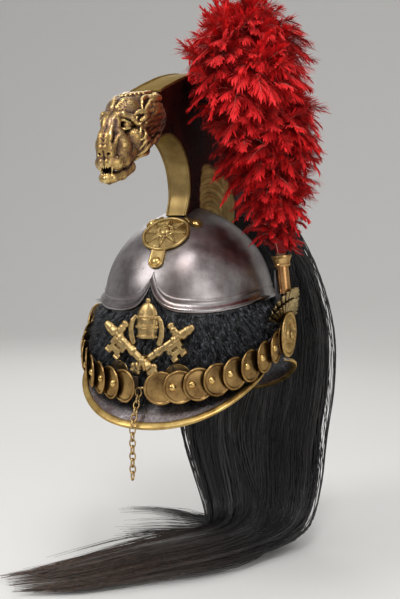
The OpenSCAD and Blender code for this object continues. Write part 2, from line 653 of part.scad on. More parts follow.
module link(i) rotate([0, 90 * (i % 2), 0]) scale([0.7, 1, 1]) rotate_extrude($fn = 48)
    translate([link_half, 0]) circle(wire_r, $fn = 24);
module chain_upper() color(brass) for (i = [0:upper_links - 1])
    translate(chain_top + chain_fall * (link_first + link_pitch * i)) rotate([90 - 26.6, 0, 0]) link(i + 1);
module chain_lower() color(brass) for (i = [upper_links:link_count - 1])
    translate(chain_hinge + [0, 0, -link_half - link_pitch * (i - upper_links)])
        rotate([90, 0, 0]) link(i + 1);

// Plume socket: tube and cup on a bracket over the left ear
socket_top = [boss_x - 8, 0, 133];
socket_tilt = -6.5;
cup_h = 11;
module on_socket() translate(socket_top) rotate([0, socket_tilt, 0]) children();

module plume_socket() color(brass) on_socket() difference() {
    translate([0, 0, -cup_h - socket_len + 8])
        cylinder(h = socket_len + cup_h - 9, r = socket_r + 1.2, $fn = 32);
    translate([0, 0, -cup_h - socket_len + 10]) cylinder(h = 80, r = socket_r, $fn = 32);
}
module plume_cup() color(brass) on_socket() rotate_extrude($fn = 40) polygon([[socket_r + 1.2 + seat, -cup_h],
    [8, -cup_h], [8.6, -cup_h + 1.5], [8, -cup_h + 3], [9.4, -3], [10.6, -1.6], [10.6, 0], [9.4, 0],
    [7.4, -cup_h + 4], [socket_r + 1.2 + seat, -cup_h + 3.4]]);

// Bracket: an eye on the boss post and a tongue that rises to the tube
eye_x = band_a + fur_foot + 1.2 + 2 * seat;
module socket_bracket() color(steel) difference() {
    union() {
        translate([eye_x, 0, boss_z]) rotate([0, 90, 0]) cylinder(h = 1.4, r = 8, $fn = 32);
        hull() {
            translate([eye_x, -5, boss_z + 6.5]) cube([1.4, 10, 2]);
            translate([boss_x - 13.97, -5, 110]) cube([1.4, 10, 8]);
        }
    }
    translate([eye_x - 5, 0, boss_z]) rotate([0, 90, 0]) cylinder(h = 10, r = post_r + seat, $fn = 32);
}

// Cockade: two tiers of pleats that fan out over the boss, the outer tier on a short stub
fan_x = boss_x - 5.8;
fan_z = boss_z + 10;
fan_lean = 18;
module pleat(a, k, r0, r1, step) rotate([0, fan_lean, 0]) rotate([0, 0, -15 * max(0, sin(a))])
    rotate([0, -90, 180]) rotate([0, 0, a]) rotate([k % 2 == 0 ? 16 : -16, 0, 0])
    let (w0 = r0 * sin(step / 2) + 0.3, w1 = r1 * sin(step / 2) * 1.03) linear_extrude(0.8, center = true)
    polygon([[r0, -w0], [r1, -w1], [r1 + 1.5, 0], [r1, w1], [r0, w0]]);

module cockade_outer() color("gray") {
    translate([fan_x, -1, fan_z]) for (k = [0:fan_pleats - 1])
        let (step = 168 / fan_pleats, a = -84 + step * (k + 0.5))
        pleat(a, k, 5, fan_r * (0.7 + 0.3 * cos(a)), step);
    translate([eye_x + 0.78, -1, fan_z + 8]) rotate([0, 90, 0])
        cylinder(h = fan_x - eye_x + 0.7, r = 2.4, $fn = 24);
}
module cockade_inner() color("gray") translate([fan_x + 2.8, -1, fan_z])
    for (k = [0:fan_pleats - 1]) let (step = 150 / fan_pleats, a = -75 + step * (k + 0.5),
        r0 = sqrt(pow(10 * cos(a), 2) + 505) - 10 * cos(a) + 1.3)
        pleat(a, k, r0, fan_r * (0.76 - 0.06 * cos(a)), step);

// Plume: a stem in the socket and a body of feathers
module plume_stem() color(hide) on_socket() translate([0, 0, -cup_h - socket_len + 12])
    cylinder(h = socket_len + cup_h, r = socket_r - run, $fn = 32);

plume_rows = spline([[0, 0, 0, 10, 10], [1, -2, 0.08, 19, 18], [-4, -8, 0.22, 42, 44],
    [-8, -10, 0.36, 54, 56], [-14, -12, 0.5, 60, 62], [-22, -12, 0.66, 62, 64], [-38, -12, 0.8, 62, 64],
    [-30, -8, 0.92, 50, 48], [-34, 0, 1, 16, 14]], 2);
module plume_feathers() color(red) difference() {
    translate(socket_top + [0, 0, 2.5]) skin([for (i = [0:len(plume_rows) - 1]) let (r = plume_rows[i])
        [for (j = [0:23]) let (q = 15 * j, f = 1 + (i == 0 ? 0 : 0.09 * sin(4 * q + 70 * i)))
            [r[0] + r[3] * f * cos(q), r[1] + r[4] * f * sin(q), plume_h * r[2]]]]);
    translate([-200, -200, 0]) cube([200 + crest_head + 8, 400, crown_z + 146]);
}

// Horsehair mane, bound to a block inside the crest
module mane_block() color(hide) translate([0, 84, crown_z - 20]) rotate([90, 0, 0]) translate([0, 0, -10])
    linear_extrude(16) polygon([[-crest_w(crown_z - 20) + seat, 0], [crest_w(crown_z - 20) - seat, 0],
        [crest_w(crown_z + 90) - seat, 110], [-crest_w(crown_z + 90) + seat, 110]]);

// Each row of the mane: x, inner y and z, outer y and z, half width, yaw
mane_rows = concat(
    [[0, 94.05, crown_z - 22, 94.05, crown_z + 69, 8.6, 0],
    [0, 104, crown_z - 22, 105, crown_z + 68, 8.6, 0]],
    spline([[0, 112.6, crown_z - 20, 114, crown_z + 66, 8.8, 0],
    [3, 113.6, crown_z - 22, 136, crown_z + 54, 18, 0], [10, 114.2, crown_z - 33, 157, crown_z + 24, 34, 0],
    [24, 116, crown_z - 54, 170, crown_z - 22, 56, 0], [36, 120, 96, 174, 100, 74, 0],
    [42, 138, 34, 178, 34, 86, 0], [32, 142, -30, 180, -30, 95, 0],
    [24, 138, -90, 174, -90, 94, 0], [32, 126, -146, 160, -152, 78, 0], [36, 108, -180, 132, -202, 62, -8],
    [20, 78, -192, 74, -214, 48, -26], [-14, 32, -196, 28, -215, 40, -42],
    [-60, -18, -199, -22, -215, 32, -46],
    [-110, -76, -202, -80, -215, 22, -42], [-160, -122, -206, -122, -215, 10, -36]], 3));

module horsehair_mane() color(fur) skin([for (r = mane_rows) [for (j = [0:15])
    let (c = r[5] * cos(22.5 * j), s = sin(22.5 * j) / 2)
    [r[0] + c * cos(r[6]), (r[1] + r[3]) / 2 + c * sin(r[6]) + (r[3] - r[1]) * s,
     (r[2] + r[4]) / 2 + (r[4] - r[2]) * s]]]);

skull();
base_band();
fur_turban();
visor();
visor_binding();
neck_guard();
neck_guard_binding();
band_rivets();
liner_band();
liner_tongues();
liner_lace();
crest_left_side();
crest_right_side();
crest_front_strip();
crest_top_strip();
crest_lugs();
crest_screws();
lion_head();
rosette();
rosette_stud();
badge_crown();
badge_key_left();
badge_key_right();
badge_lappets();
badge_prongs();
turban_discs();
boss_post_left();
boss_post_right();
ear_boss_left();
ear_boss_right();
strap_tab_left();
strap_tab_right();
strap_end_scale_left();
strap_end_scale_right();
strap_leather_left();
strap_leather_right();
strap_scales_left();
strap_scales_right();
strap_studs_left();
strap_studs_right();
strap_hook();
strap_loop();
chain_upper();
chain_lower();
socket_bracket();
plume_socket();
plume_cup();
cockade_outer();
cockade_inner();
plume_stem();
plume_feathers();
mane_block();
horsehair_mane();
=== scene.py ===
import bpy, bmesh, math
import numpy as np
from mathutils import Matrix, Vector, noise


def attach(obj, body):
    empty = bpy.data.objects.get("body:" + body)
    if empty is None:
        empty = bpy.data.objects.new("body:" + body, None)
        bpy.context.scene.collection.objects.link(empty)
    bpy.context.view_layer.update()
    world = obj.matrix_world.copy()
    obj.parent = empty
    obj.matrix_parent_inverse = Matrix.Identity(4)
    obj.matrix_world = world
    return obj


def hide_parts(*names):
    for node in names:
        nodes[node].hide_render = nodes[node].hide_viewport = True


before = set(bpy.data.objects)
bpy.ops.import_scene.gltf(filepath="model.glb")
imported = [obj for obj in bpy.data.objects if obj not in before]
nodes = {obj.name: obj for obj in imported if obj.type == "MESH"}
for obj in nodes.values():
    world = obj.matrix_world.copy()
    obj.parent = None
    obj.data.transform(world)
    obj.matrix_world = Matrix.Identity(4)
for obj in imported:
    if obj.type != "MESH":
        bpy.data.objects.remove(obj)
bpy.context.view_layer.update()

# Camera: the photograph is taken from the wearer's front left, a little above the brow,
# with a short telephoto lens. The whole frame of 400 x 599 is the view.
camera = bpy.data.objects.new("camera", bpy.data.cameras.new("camera"))
bpy.context.scene.collection.objects.link(camera)
bpy.context.scene.camera = camera
camera.data.lens = 60.1
camera.data.clip_start = 0.05
camera.location = (0.4003, -0.9871, 0.1866)
look = Vector((0.00996, 0.00392, 0.084)) - camera.location
camera.rotation_euler = look.to_track_quat("-Z", "Y").to_euler()

# Skull: one shell of raised steel, planished smooth, 1.2 mm thick. Its lower edge rolls
# outwards into a rim and hangs in two front lobes that meet in a narrow cusp.
skull_a, skull_b, rim_z, dome_h, skull_t, rim_out = 87.0, 101.0, 88.0, 95.0, 1.2, 5.0
crown_z = rim_z + dome_h
lobe_drop, cusp_rise, rim_high = 9, 27, 14.6
full_turn = 2 * np.pi


def round_turn(count, start=0.0):
    """Evenly spaced angles once round, from start."""
    return np.linspace(start, start + full_turn, count, endpoint=False)


def wave(x):
    """Half a cosine wave, from 1 at x = 0 to 0 at x = 1 and beyond."""
    return (1 + np.cos(np.pi * np.clip(x, 0, 1))) / 2


def rim_edge(p):
    """Height of the skull's edge at angle p, counted from the front."""
    q = np.abs((np.degrees(p) + 180) % 360 - 180)
    return rim_z - lobe_drop * wave((q - 30) / 60) + cusp_rise * np.exp(-q / 6)


def skull_point(p, z, out, wall):
    """Points of the shell at angles p and heights z, out from it and wall inside it."""
    h = dome_h - wall
    s = np.where(z <= rim_z, 1, np.maximum(0, 1 - ((z - rim_z) / h) ** 2) ** 0.625)
    a, b = skull_a - wall + out, skull_b - wall + out
    return np.stack([a * s * np.sin(p), -b * s * np.cos(p), z], -1)


def placed(name, mesh):
    """A new object of the scene that shows the mesh."""
    piece = bpy.data.objects.new(name, mesh)
    bpy.context.scene.collection.objects.link(piece)
    return piece


def spots_of(piece):
    """The piece's vertices, in millimetres."""
    return np.array([v.co for v in piece.data.vertices]) * 1000


def write_mark(piece, label, values):
    """Writes one value for each vertex, which a material reads by its label."""
    marks = piece.data.attributes
    made = marks.get(label) or marks.new(label, "FLOAT", "POINT")
    made.data.foreach_set("value", np.asarray(values, np.float32))


def tidy_faces(piece, merge=1e-6, crease=40):
    """Merges doubles, turns the faces outwards and shades them smooth up to a crease angle."""
    b = bmesh.new()
    b.from_mesh(piece.data)
    bmesh.ops.remove_doubles(b, verts=b.verts, dist=merge)
    bmesh.ops.dissolve_degenerate(b, edges=b.edges, dist=1e-7)
    bmesh.ops.recalc_face_normals(b, faces=b.faces)
    for f in b.faces:
        f.smooth = True
    for e in b.edges:
        e.smooth = len(e.link_faces) < 2 or e.calc_face_angle(0) < math.radians(crease)
    b.to_mesh(piece.data)
    b.free()


def skin(name, rows, around=True, closed=False, caps=True):
    """A smooth mesh over rows of points in millimetres, its normals turned outwards.

    around joins the two ends of each row, and closed joins the last row to the first."""
    p = np.array(rows, float)
    n, m = p.shape[:2]
    row_count, column_count = n if closed else n - 1, m if around else m - 1
    i, j = np.meshgrid(np.arange(row_count), np.arange(column_count), indexing="ij")
    k, l = (i + 1) % n, (j + 1) % m
    quads = np.stack([i * m + j, k * m + j, k * m + l, i * m + l], -1).reshape(-1, 4).tolist()
    if caps and around and not closed:
        quads += [list(range(m - 1, -1, -1)), list(range((n - 1) * m, n * m))]
    mesh = bpy.data.meshes.new(name)
    mesh.from_pydata((p.reshape(-1, 3) * 0.001).tolist(), [], quads)
    piece = placed(name, mesh)
    tidy_faces(piece)
    return piece


def finish(piece, body, material, slot, *replaced):
    """Gives a piece its material, the body that it rides on and the nodes that it stands for."""
    piece.data.materials.clear()
    piece.data.materials.append(material)
    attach(piece, body)
    if replaced:
        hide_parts(*replaced)
    return piece


def feed(tree, spot, value):
    """Sets an input, or links it where the value is another node's output."""
    if isinstance(value, bpy.types.NodeSocket):
        tree.links.new(value, spot)
    else:
        spot.default_value = value


def add(tree, kind, **values):
    """A node. _name sets a property, in0, in1 ... an input by number, and others by label."""
    made = tree.nodes.new(kind)
    for key, value in values.items():
        if key.startswith("_"):
            setattr(made, key[1:], value)
        elif key[:2] == "in" and key[2:].isdigit():
            feed(tree, made.inputs[int(key[2:])], value)
        else:
            feed(tree, made.inputs[key.replace("_", " ")], value)
    return made


def dress(tree, shader, **looks):
    """Sets or links the shader's inputs by their labels."""
    for label, value in looks.items():
        feed(tree, shader.inputs[label.replace("_", " ")], value)


def ramp(tree, factor, stops):
    """A colour ramp through (position, colour) stops."""
    made = add(tree, "ShaderNodeValToRGB", Fac=factor)
    e = made.color_ramp.elements
    while len(e) < len(stops):
        e.new(1)
    for spot, (at, colour) in zip(e, stops):
        spot.position = at
        spot.color = (*colour, 1)
    return made.outputs["Color"]


def blend(tree, factor, a, b):
    """Mixes colour b over colour a."""
    made = tree.nodes.new("ShaderNodeMix")
    made.data_type = "RGBA"
    feed(tree, made.inputs[0], factor)
    for spot, colour in ((6, a), (7, b)):
        feed(tree, made.inputs[spot], (*colour, 1) if isinstance(colour, tuple) else colour)
    return made.outputs[2]


def grade(tree, value, a, b, c=0, d=1):
    """Maps a value's range a to b onto c to d, clamped."""
    return add(tree, "ShaderNodeMapRange", Value=value, From_Min=a, From_Max=b,
               To_Min=c, To_Max=d).outputs[0]


def times_plus(tree, a, b, c):
    """a times b, plus c."""
    return add(tree, "ShaderNodeMath", _operation="MULTIPLY_ADD", in0=a, in1=b, in2=c).outputs[0]


def mottle(tree, place, scale, detail, rough=0.5, distortion=0.0):
    """Cloudy noise of a scale."""
    return add(tree, "ShaderNodeTexNoise", Vector=place, Scale=scale, Detail=detail,
               Roughness=rough, Distortion=distortion).outputs["Fac"]


def mark(tree, label):
    """The value that a piece's vertices carry under a label."""
    return add(tree, "ShaderNodeAttribute", _attribute_name=label).outputs["Fac"]


def bumps(tree, height, strength, depth):
    """A bumpy surface that follows a height."""
    return add(tree, "ShaderNodeBump", Strength=strength, Distance=depth, Height=height).outputs[0]


def surface(name):
    """A new material: its tree, its shader and the object's own coordinates."""
    made = bpy.data.materials.new(name)
    made.use_nodes = True
    tree = made.node_tree
    place = tree.nodes.new("ShaderNodeTexCoord").outputs["Object"]
    return made, tree, tree.nodes["Principled BSDF"], place


def old_steel(name, light, dark, stain, rough=0.36):
    """Old polished steel: a bright grey that is pitted with rust and clouded with brown."""
    made, tree, shader, place = surface(name)
    cloud = mottle(tree, place, 26, 8, 0.62)
    patch = mottle(tree, place, 9, 5, 0.6, 0.6)
    speck = mottle(tree, place, 420, 4, 0.7)
    pit = add(tree, "ShaderNodeTexVoronoi", Vector=place, Scale=260, Randomness=1).outputs["Distance"]
    polish = blend(tree, grade(tree, cloud, 0.38, 0.66), dark, light)
    stained = blend(tree, grade(tree, patch, 0.5, 0.72, 0, 0.85), polish, stain)
    marks = times_plus(tree, grade(tree, pit, 0.05, 0.22, 1, 0), grade(tree, speck, 0.52, 0.61, 0, 0.85), 0)
    wear = times_plus(tree, cloud, 0.22, rough - 0.1)
    worn = times_plus(tree, marks, 0.4, wear)
    worn = times_plus(tree, mark(tree, "rubbed"), -0.17, worn)
    dress(tree, shader, Base_Color=blend(tree, marks, stained, (0.035, 0.024, 0.022)), Metallic=1,
          Roughness=worn, Normal=bumps(tree, times_plus(tree, marks, -0.8, cloud), 0.35, 0.0006))
    return made


skull_steel = old_steel("skull_steel", (0.4, 0.37, 0.365), (0.17, 0.145, 0.145), (0.11, 0.07, 0.055))
angles = round_turn(288, -np.pi)
near_cusp = np.sign(angles) * np.abs(angles / np.pi) ** 1.4 * np.pi
edge = rim_edge(near_cusp)
foot_line = edge + rim_high


def dents(p, amount=0.0016):
    """Slight unevenness left by the planishing hammer."""
    return [[c * (1 + amount * noise.noise(Vector(c) * 0.055)) for c in row] for row in p]


def dome_rings(wall, quarter_turn):
    """Rings of the dome over its rim, one for each step of a quarter turn."""
    rise = crown_z - wall - foot_line
    return [skull_point(near_cusp, foot_line + rise * math.sin(t), 0, wall) for t in quarter_turn]


rings = dents(dome_rings(0, np.linspace(math.pi / 2, 0, 44)))
rolled_rim = [(14.2, 0.03), (13.7, 0.13), (13.1, 0.2), (12.4, 0.2), (11.8, 0.13), (11.3, 0.06),
              (10.6, 0.06), (9.4, 0.12), (8.2, 0.24), (7, 0.42), (6, 0.62), (5, 0.84), (4.2, 0.96),
              (3.1, 1.04), (1.9, 1.0), (0.8, 0.86), (0.2, 0.7), (0, 0.56), (0.4, 0.42)]
rings += [skull_point(near_cusp, edge + z, out * rim_out, 0) for z, out in rolled_rim]
rings += [skull_point(near_cusp, edge + 1, rim_out * 0.3, skull_t)]
rings += [skull_point(near_cusp, edge + 8, 0, skull_t)]
rings += dome_rings(skull_t, np.linspace(0, math.pi / 2, 30))
skull = skin("steel_skull", rings, caps=False)
x, y, z = spots_of(skull).T
above_rim = z - rim_edge(np.arctan2(x / skull_a, -y / skull_b))
write_mark(skull, "rubbed", np.clip(1.3 - above_rim / 9, 0, 1))
finish(skull, "helmet", skull_steel, "steel", "skull")

# Base band: a dark steel ring under the skull that carries the turban, the visor and the neck
# guard. Band, rivets and the plume's bracket keep the CAD's own shape, with smooth shading.
band_a, band_b = skull_a - skull_t - 0.05, skull_b - skull_t - 0.05


def group(name, **inputs):
    """A geometry tree with named inputs, and the sockets that give them."""
    tree = bpy.data.node_groups.new(name, "GeometryNodeTree")
    for label, kind in (("Geometry", "Geometry"), *inputs.items()):
        tree.interface.new_socket(label.replace("_", " "), in_out="INPUT",
                                  socket_type="NodeSocket" + kind)
    tree.interface.new_socket("Geometry", in_out="OUTPUT", socket_type="NodeSocketGeometry")
    return tree, tree.nodes.new("NodeGroupInput").outputs


def group_end(tree, geometry):
    """Hands a tree's geometry out."""
    tree.links.new(geometry, tree.nodes.new("NodeGroupOutput").inputs[0])
    return tree


def smooth_shading():
    """Geometry nodes that merge a CAD mesh and shade it smooth between its creases."""
    tree, given = group("smooth shading", Crease="Float")
    merged = add(tree, "GeometryNodeMergeByDistance", Geometry=given["Geometry"], Distance=1e-5)
    smooth = add(tree, "GeometryNodeSetShadeSmooth", Geometry=merged.outputs[0], Shade_Smooth=True)
    angle = add(tree, "GeometryNodeInputMeshEdgeAngle").outputs[0]
    sharp = add(tree, "FunctionNodeCompare", _operation="GREATER_THAN", A=angle, B=given["Crease"])
    crisp = add(tree, "GeometryNodeSetShadeSmooth", _domain="EDGE", Geometry=smooth.outputs[0],
                Selection=sharp.outputs[0], Shade_Smooth=False)
    return group_end(tree, crisp.outputs[0])


shading = smooth_shading()


def keep(name, material, crease=0.6):
    """A CAD node that keeps its own shape, shaded smooth between creases."""
    piece = nodes[name]
    made = piece.modifiers.new("smooth shading", "NODES")
    made.node_group = shading
    made[shading.interface.items_tree["Crease"].identifier] = crease
    piece.data.materials.clear()
    piece.data.materials.append(material)


dark_steel = old_steel("dark_steel", (0.2, 0.19, 0.2), (0.09, 0.08, 0.082), (0.075, 0.05, 0.04), 0.5)
for name in ("base_band", "band_rivets", "socket_bracket"):
    keep(name, dark_steel)

# Visor and neck guard: two brims of sheet steel, browned towards their edges and flanged up
# against the band. A strip of brass is folded over each edge and hammered down by hand.
flange_gap, brim_t, flange_h = 0.1, 1.2, 8
fold_w, fold_t = 6, 0.8


def foot(p):
    """Height of the band's foot at angle p: it rises over the ears."""
    return 24 * np.abs(np.sin(p)) ** 3.4


def ring(out, p, z):
    """Points round the band at angles p and heights z, out from it."""
    return np.stack([(band_a + out) * np.sin(p), -(band_b + out) * np.cos(p), z], -1)


def brim_line(mid, half, power, reach, drop, steps=180):
    """Angles along a brim's edge, its foot's heights, and how far it reaches out and falls."""
    t = np.sin(np.linspace(-np.pi / 2, np.pi / 2, steps + 1))
    p = np.radians(mid + t * half)
    k = np.sqrt(np.maximum(0, 1 - np.abs(t) ** power))
    return p, foot(p) + 1, 2 + (reach - 2) * k, -drop * np.cos(p) ** 2 * k


def brim(name, mid, half, power, reach, drop):
    """A brim between two flanges. The mark "edge" grows to 1 at its outer edge."""
    p, z0, out, fall = brim_line(mid, half, power, reach, drop)
    steps = np.linspace(0.12, 1, 12)
    near = brim_t + flange_gap
    rows = [ring(flange_gap, p, z0 + high) for high in (flange_h, 0.4, 0)]
    rows += [ring(out * u - 0.6 * u, p, z0 + fall * u ** 1.2 - brim_t) for u in steps]
    rows += [ring(out * u, p, z0 + fall * u ** 1.2) for u in steps[:0:-1]]
    rows += [ring(near + more, p, z0 + high) for more, high in ((0.5, 0.2), (0, 0.8), (0, flange_h))]
    made = skin(name, np.swapaxes(np.array(rows), 0, 1))
    x, y, z = spots_of(made).T
    out_share = (np.hypot(x / band_a, y / band_b) - 1) * band_b / reach
    write_mark(made, "edge", np.clip(out_share, 0, 1))
    return made


def binding(name, mid, half, power, reach, drop):
    """Brass folded over a brim's edge, wavy where the hammer drew it in."""
    p, z0, out, fall = brim_line(mid, half * 0.985, power, reach, drop)
    lean = np.arctan2(drop * np.cos(p) ** 2 * 1.2, reach)
    w = np.minimum(fold_w, out * 0.6)
    wavy = np.array([0.35 * noise.noise(Vector((a * 9, 3, 0))) + 0.2 * noise.noise(Vector((a * 31, 7, 0)))
                     for a in p])
    h1 = brim_t / 2 + 0.32
    h2 = h1 + fold_t
    profile = [(-1, h1, 0), (-1, h2 * 0.86, 0), (-0.93, h2, 0), (-0.5, h2 + 0.12, 0),
               (-0.12, h2 + 0.1, 0), (0, h2, 0.4), (0, h1 * 1.35, 1.05), (0, h1 * 0.5, 1.5),
               (0, -h1 * 0.5, 1.5), (0, -h1 * 1.35, 1.05), (0, -h2, 0.4), (-0.3, -h2, 0),
               (-0.6, -h2, 0), (-0.6, -h1, 0), (0, -h1, 0.3), (0, h1, 0.3)]
    rows = []
    for share, high, more in profile:
        x = share * w + more + (wavy if share < -0.4 else 0)
        y = high + (0.25 * wavy if high > h1 else 0)
        away = out - 0.3 + x * np.cos(lean) + y * np.sin(lean)
        rows.append(ring(away, p, z0 + fall - 0.6 - x * np.sin(lean) + y * np.cos(lean)))
    return skin(name, np.swapaxes(np.array(rows), 0, 1))


def aged_brass(name, bright, warm, grime_and_shade, rough=0.3, grain=90, rim=1.0):
    """Aged brass: bright where hands rub it, warm brown in between and dark in the hollows.

    The hollows come from the mark "hollow", which each piece's own relief fills. Their
    darkness is patina together with painted shade."""
    made, tree, shader, place = surface(name)
    cloud = mottle(tree, place, grain, 7, 0.65)
    broad = mottle(tree, place, grain * 0.3, 4, 0.6)
    fine = mottle(tree, place, 900, 3, 0.7)
    tone = blend(tree, grade(tree, cloud, 0.36, 0.62), warm, bright)
    tone = blend(tree, grade(tree, broad, 0.5, 0.7, 0, 0.55), tone, warm)
    deep = times_plus(tree, mark(tree, "hollow"), 1, times_plus(tree, cloud, 0.5, -0.25))
    deep = grade(tree, deep, 0.3, 0.75)
    worn = times_plus(tree, deep, 0.3, times_plus(tree, cloud, 0.25, rough - 0.12))
    dress(tree, shader, Base_Color=blend(tree, deep, tone, grime_and_shade), Metallic=1, Roughness=worn,
          Specular_Tint=(rim, 0.85 * rim, 0.6 * rim, 1),
          Normal=bumps(tree, times_plus(tree, fine, 0.35, cloud), 0.4, 0.0005))
    return made


def brim_steel(name):
    """Brim steel: grey with bright worn spots in the middle, browned to violet near the edge."""
    made, tree, shader, place = surface(name)
    cloud = mottle(tree, place, 60, 8, 0.7)
    spot = mottle(tree, place, 330, 5, 0.75)
    brown = times_plus(tree, mark(tree, "edge"), 1, times_plus(tree, cloud, 1.1, -0.55))
    tone = blend(tree, grade(tree, spot, 0.42, 0.62), (0.2, 0.185, 0.2), (0.62, 0.6, 0.6))
    tone = blend(tree, grade(tree, brown, 0.5, 0.95, 0, 0.9), tone, (0.14, 0.09, 0.085))
    dress(tree, shader, Base_Color=tone, Metallic=1, Roughness=grade(tree, spot, 0.3, 0.7, 0.44, 0.2),
          Normal=bumps(tree, spot, 0.3, 0.0005))
    return made


worn_brim = brim_steel("worn_brim_steel")
binding_brass = aged_brass("binding_brass", (0.62, 0.44, 0.16), (0.4, 0.25, 0.08),
                           (0.09, 0.05, 0.02), 0.32, 70)
brims = {"visor": (0, 78, 3.4, 30, 29), "neck_guard": (180, 82, 8, 30, 34)}
for name, sizes in brims.items():
    finish(brim("steel_" + name, *sizes), "helmet", worn_brim, "steel", name)
for name, sizes in brims.items():
    folded = binding("brass_%s_binding" % name, *sizes)
    finish(folded, "helmet", binding_brass, "brass", name + "_binding")

# Liner: a band of brown sheepskin sewn inside the helmet, with eight soft tongues that a lace
# draws together over the head. The leather is thin and slightly puckered between its stitches.
liner_z, liner_h, tongue_rise, tongues = 8, 34, 88, 8
tongue_z = liner_z + liner_h * 0.6


def worn_leather(name, light, dark):
    """Leather with fine pebbles and darker creases."""
    made, tree, shader, place = surface(name)
    pebble = add(tree, "ShaderNodeTexVoronoi", Vector=place, Scale=620).outputs["Distance"]
    crease = mottle(tree, place, 120, 6, 0.6, 1.2)
    dress(tree, shader, Base_Color=blend(tree, grade(tree, crease, 0.35, 0.66), dark, light),
          Roughness=grade(tree, crease, 0.3, 0.7, 0.5, 0.75),
          Normal=bumps(tree, times_plus(tree, pebble, 0.5, crease), 0.5, 0.0006))
    return made


liner_hide = worn_leather("liner_hide", (0.3, 0.17, 0.08), (0.13, 0.065, 0.03))
round_head = round_turn(240, -np.pi)
pucker = 0.11 * np.sin(round_head * 60) - 0.1
liner_line = [(-1.1, 0), (-1.1, 17), (-1.1, 34), (-1.5, 34.6), (-2.6, 34), (-2.6, 25.5), (-2.35, 25),
              (-2.6, 24.5), (-2.6, 9), (-2.6, 0), (-2, -0.6)]
rows = [ring(out + (pucker if out < -2 else 0), round_head, foot(round_head) + liner_z + z)
        for out, z in liner_line]
sweatband = skin("liner_sweatband", rows + rows[:1], caps=False)
finish(sweatband, "helmet", liner_hide, "leather", "liner_band")


def tongue_point(p, u, wall):
    """Points of a tongue at angles p and share u of its length, wall inside the band."""
    drawn_in, out = 1 - 0.62 * u ** 1.6, -2.9 - wall
    return np.stack([(band_a + out) * np.sin(p) * drawn_in, -(band_b + out) * np.cos(p) * drawn_in,
                     foot(p) * (1 - u) + tongue_z + tongue_rise * u], -1)


flaps = []
across = np.linspace(-1, 1, 17)
for k in range(tongues):
    middle = (k + 0.5) * full_turn / tongues
    rows = []
    for u in np.linspace(0, 1, 22):
        p = middle + across * 0.45 * (1 - 0.5 * u) * full_turn / tongues
        sag = 0.35 * np.sin(across * 5 + k * 2) * math.sin(math.pi * u) * (1 - across ** 2)
        rows.append(np.concatenate([tongue_point(p, u, 0.35 + sag), tongue_point(p, u, 1.4 + sag)[::-1]]))
    flaps.append(skin("liner_flap", rows))


def joined(name, pieces):
    """One piece from several, with the marks that they share."""
    bpy.ops.object.select_all(action="DESELECT")
    for piece in pieces:
        piece.select_set(True)
    bpy.context.view_layer.objects.active = pieces[0]
    bpy.ops.object.join()
    pieces[0].name = name
    return pieces[0]


finish(joined("liner_flaps", flaps), "helmet", liner_hide, "leather", "liner_tongues")
lace_r, lace_turn = 1.2, round_turn(300)
lace_a, lace_b = (band_a - 3) * 0.38, (band_b - 3) / (band_a - 3)
rows = []
for v in round_turn(14):
    twist = lace_r * (1 + 0.14 * np.cos(2 * v + lace_turn * 90))
    r = lace_a + twist * np.cos(v)
    rows.append(np.stack([r * np.cos(lace_turn), r * np.sin(lace_turn) * lace_b,
                          tongue_z + tongue_rise + 1.3 + twist * np.sin(v)], -1))
linen = worn_leather("liner_linen", (0.5, 0.43, 0.3), (0.3, 0.24, 0.15))
finish(skin("liner_lace_cord", rows, closed=True), "helmet", linen, "lace", "liner_lace")

# Turban: a strip of black fur sewn round the band, under the skull's rim. The pelt is a dark
# padded ring, and its short hairs are combed down and outwards in small wet-looking tufts.
pelt_seat, pelt_under_hair = 1.6, 3.6
press_depth, press_at, press_w = 3, 1.35, 0.3


def fur_line(share):
    """The pelt's section: outward depth at a share of its height, from foot to top."""
    return np.interp(share, [0, 0.05, 0.14, 0.5, 0.86, 1], [9.5, 12.6, 13.3, 11.4, 6, 4.6])


def hair_surface(name, dark, light, rough, sheen, browner=False):
    """Glossy hair: near black, lighter along some strands. A cool light colour there is a painted sheen.

    browner gives each strand its tone by the mark "tint", and turns it brown towards its far
    end, which the mark "fade" gives."""
    made, tree, shader, place = surface(name)
    strand = mottle(tree, place, 240, 4, 0.6)
    lock = mottle(tree, place, 30, 3)
    lighter = grade(tree, mark(tree, "tint"), 0.2, 1) if browner else grade(tree, strand, 0.52, 0.7)
    tone = blend(tree, lighter, dark, light)
    tone = blend(tree, grade(tree, lock, 0.42, 0.6, 0, 0.5), tone, dark)
    if browner:
        brown = blend(tree, grade(tree, strand, 0.4, 0.65), (0.03, 0.017, 0.011), (0.17, 0.1, 0.066))
        tone = blend(tree, grade(tree, mark(tree, "fade"), 0.7, 0.95, 0, 0.9), tone, brown)
    dress(tree, shader, Base_Color=tone, Roughness=grade(tree, strand, 0.3, 0.7, rough, rough + 0.2),
          Specular_IOR_Level=sheen, Normal=bumps(tree, strand, 0.3, 0.0005))
    return made


# The fur's light colour, a cool blue-grey along some strands, is a painted sheen.
black_fur = hair_surface("black_fur", (0.004, 0.004, 0.005), (0.24, 0.26, 0.31), 0.28, 0.8)
fur_angles = round_turn(240, -np.pi)
low, high = foot(fur_angles) + 4, rim_edge(fur_angles) - 0.3
uneven = np.array([0.7 * noise.noise(Vector((math.sin(p) * 4, math.cos(p) * 4, 1))) for p in fur_angles])
pressed = press_depth * np.exp(-((np.abs(fur_angles) - press_at) / press_w) ** 2)
rows = [ring(pelt_seat, fur_angles, low), ring(7, fur_angles, low - 0.2)]
for share in np.linspace(0, 1, 14):
    out = fur_line(share) - pelt_under_hair + uneven - pressed * math.sin(math.pi * share)
    rows.append(ring(out, fur_angles, low + (high - low) * share))
rows.append(ring(pelt_seat, fur_angles, high))
pelt = skin("fur_pelt", rows + rows[:1], caps=False)
finish(pelt, "helmet", black_fur, "fur", "fur_turban")

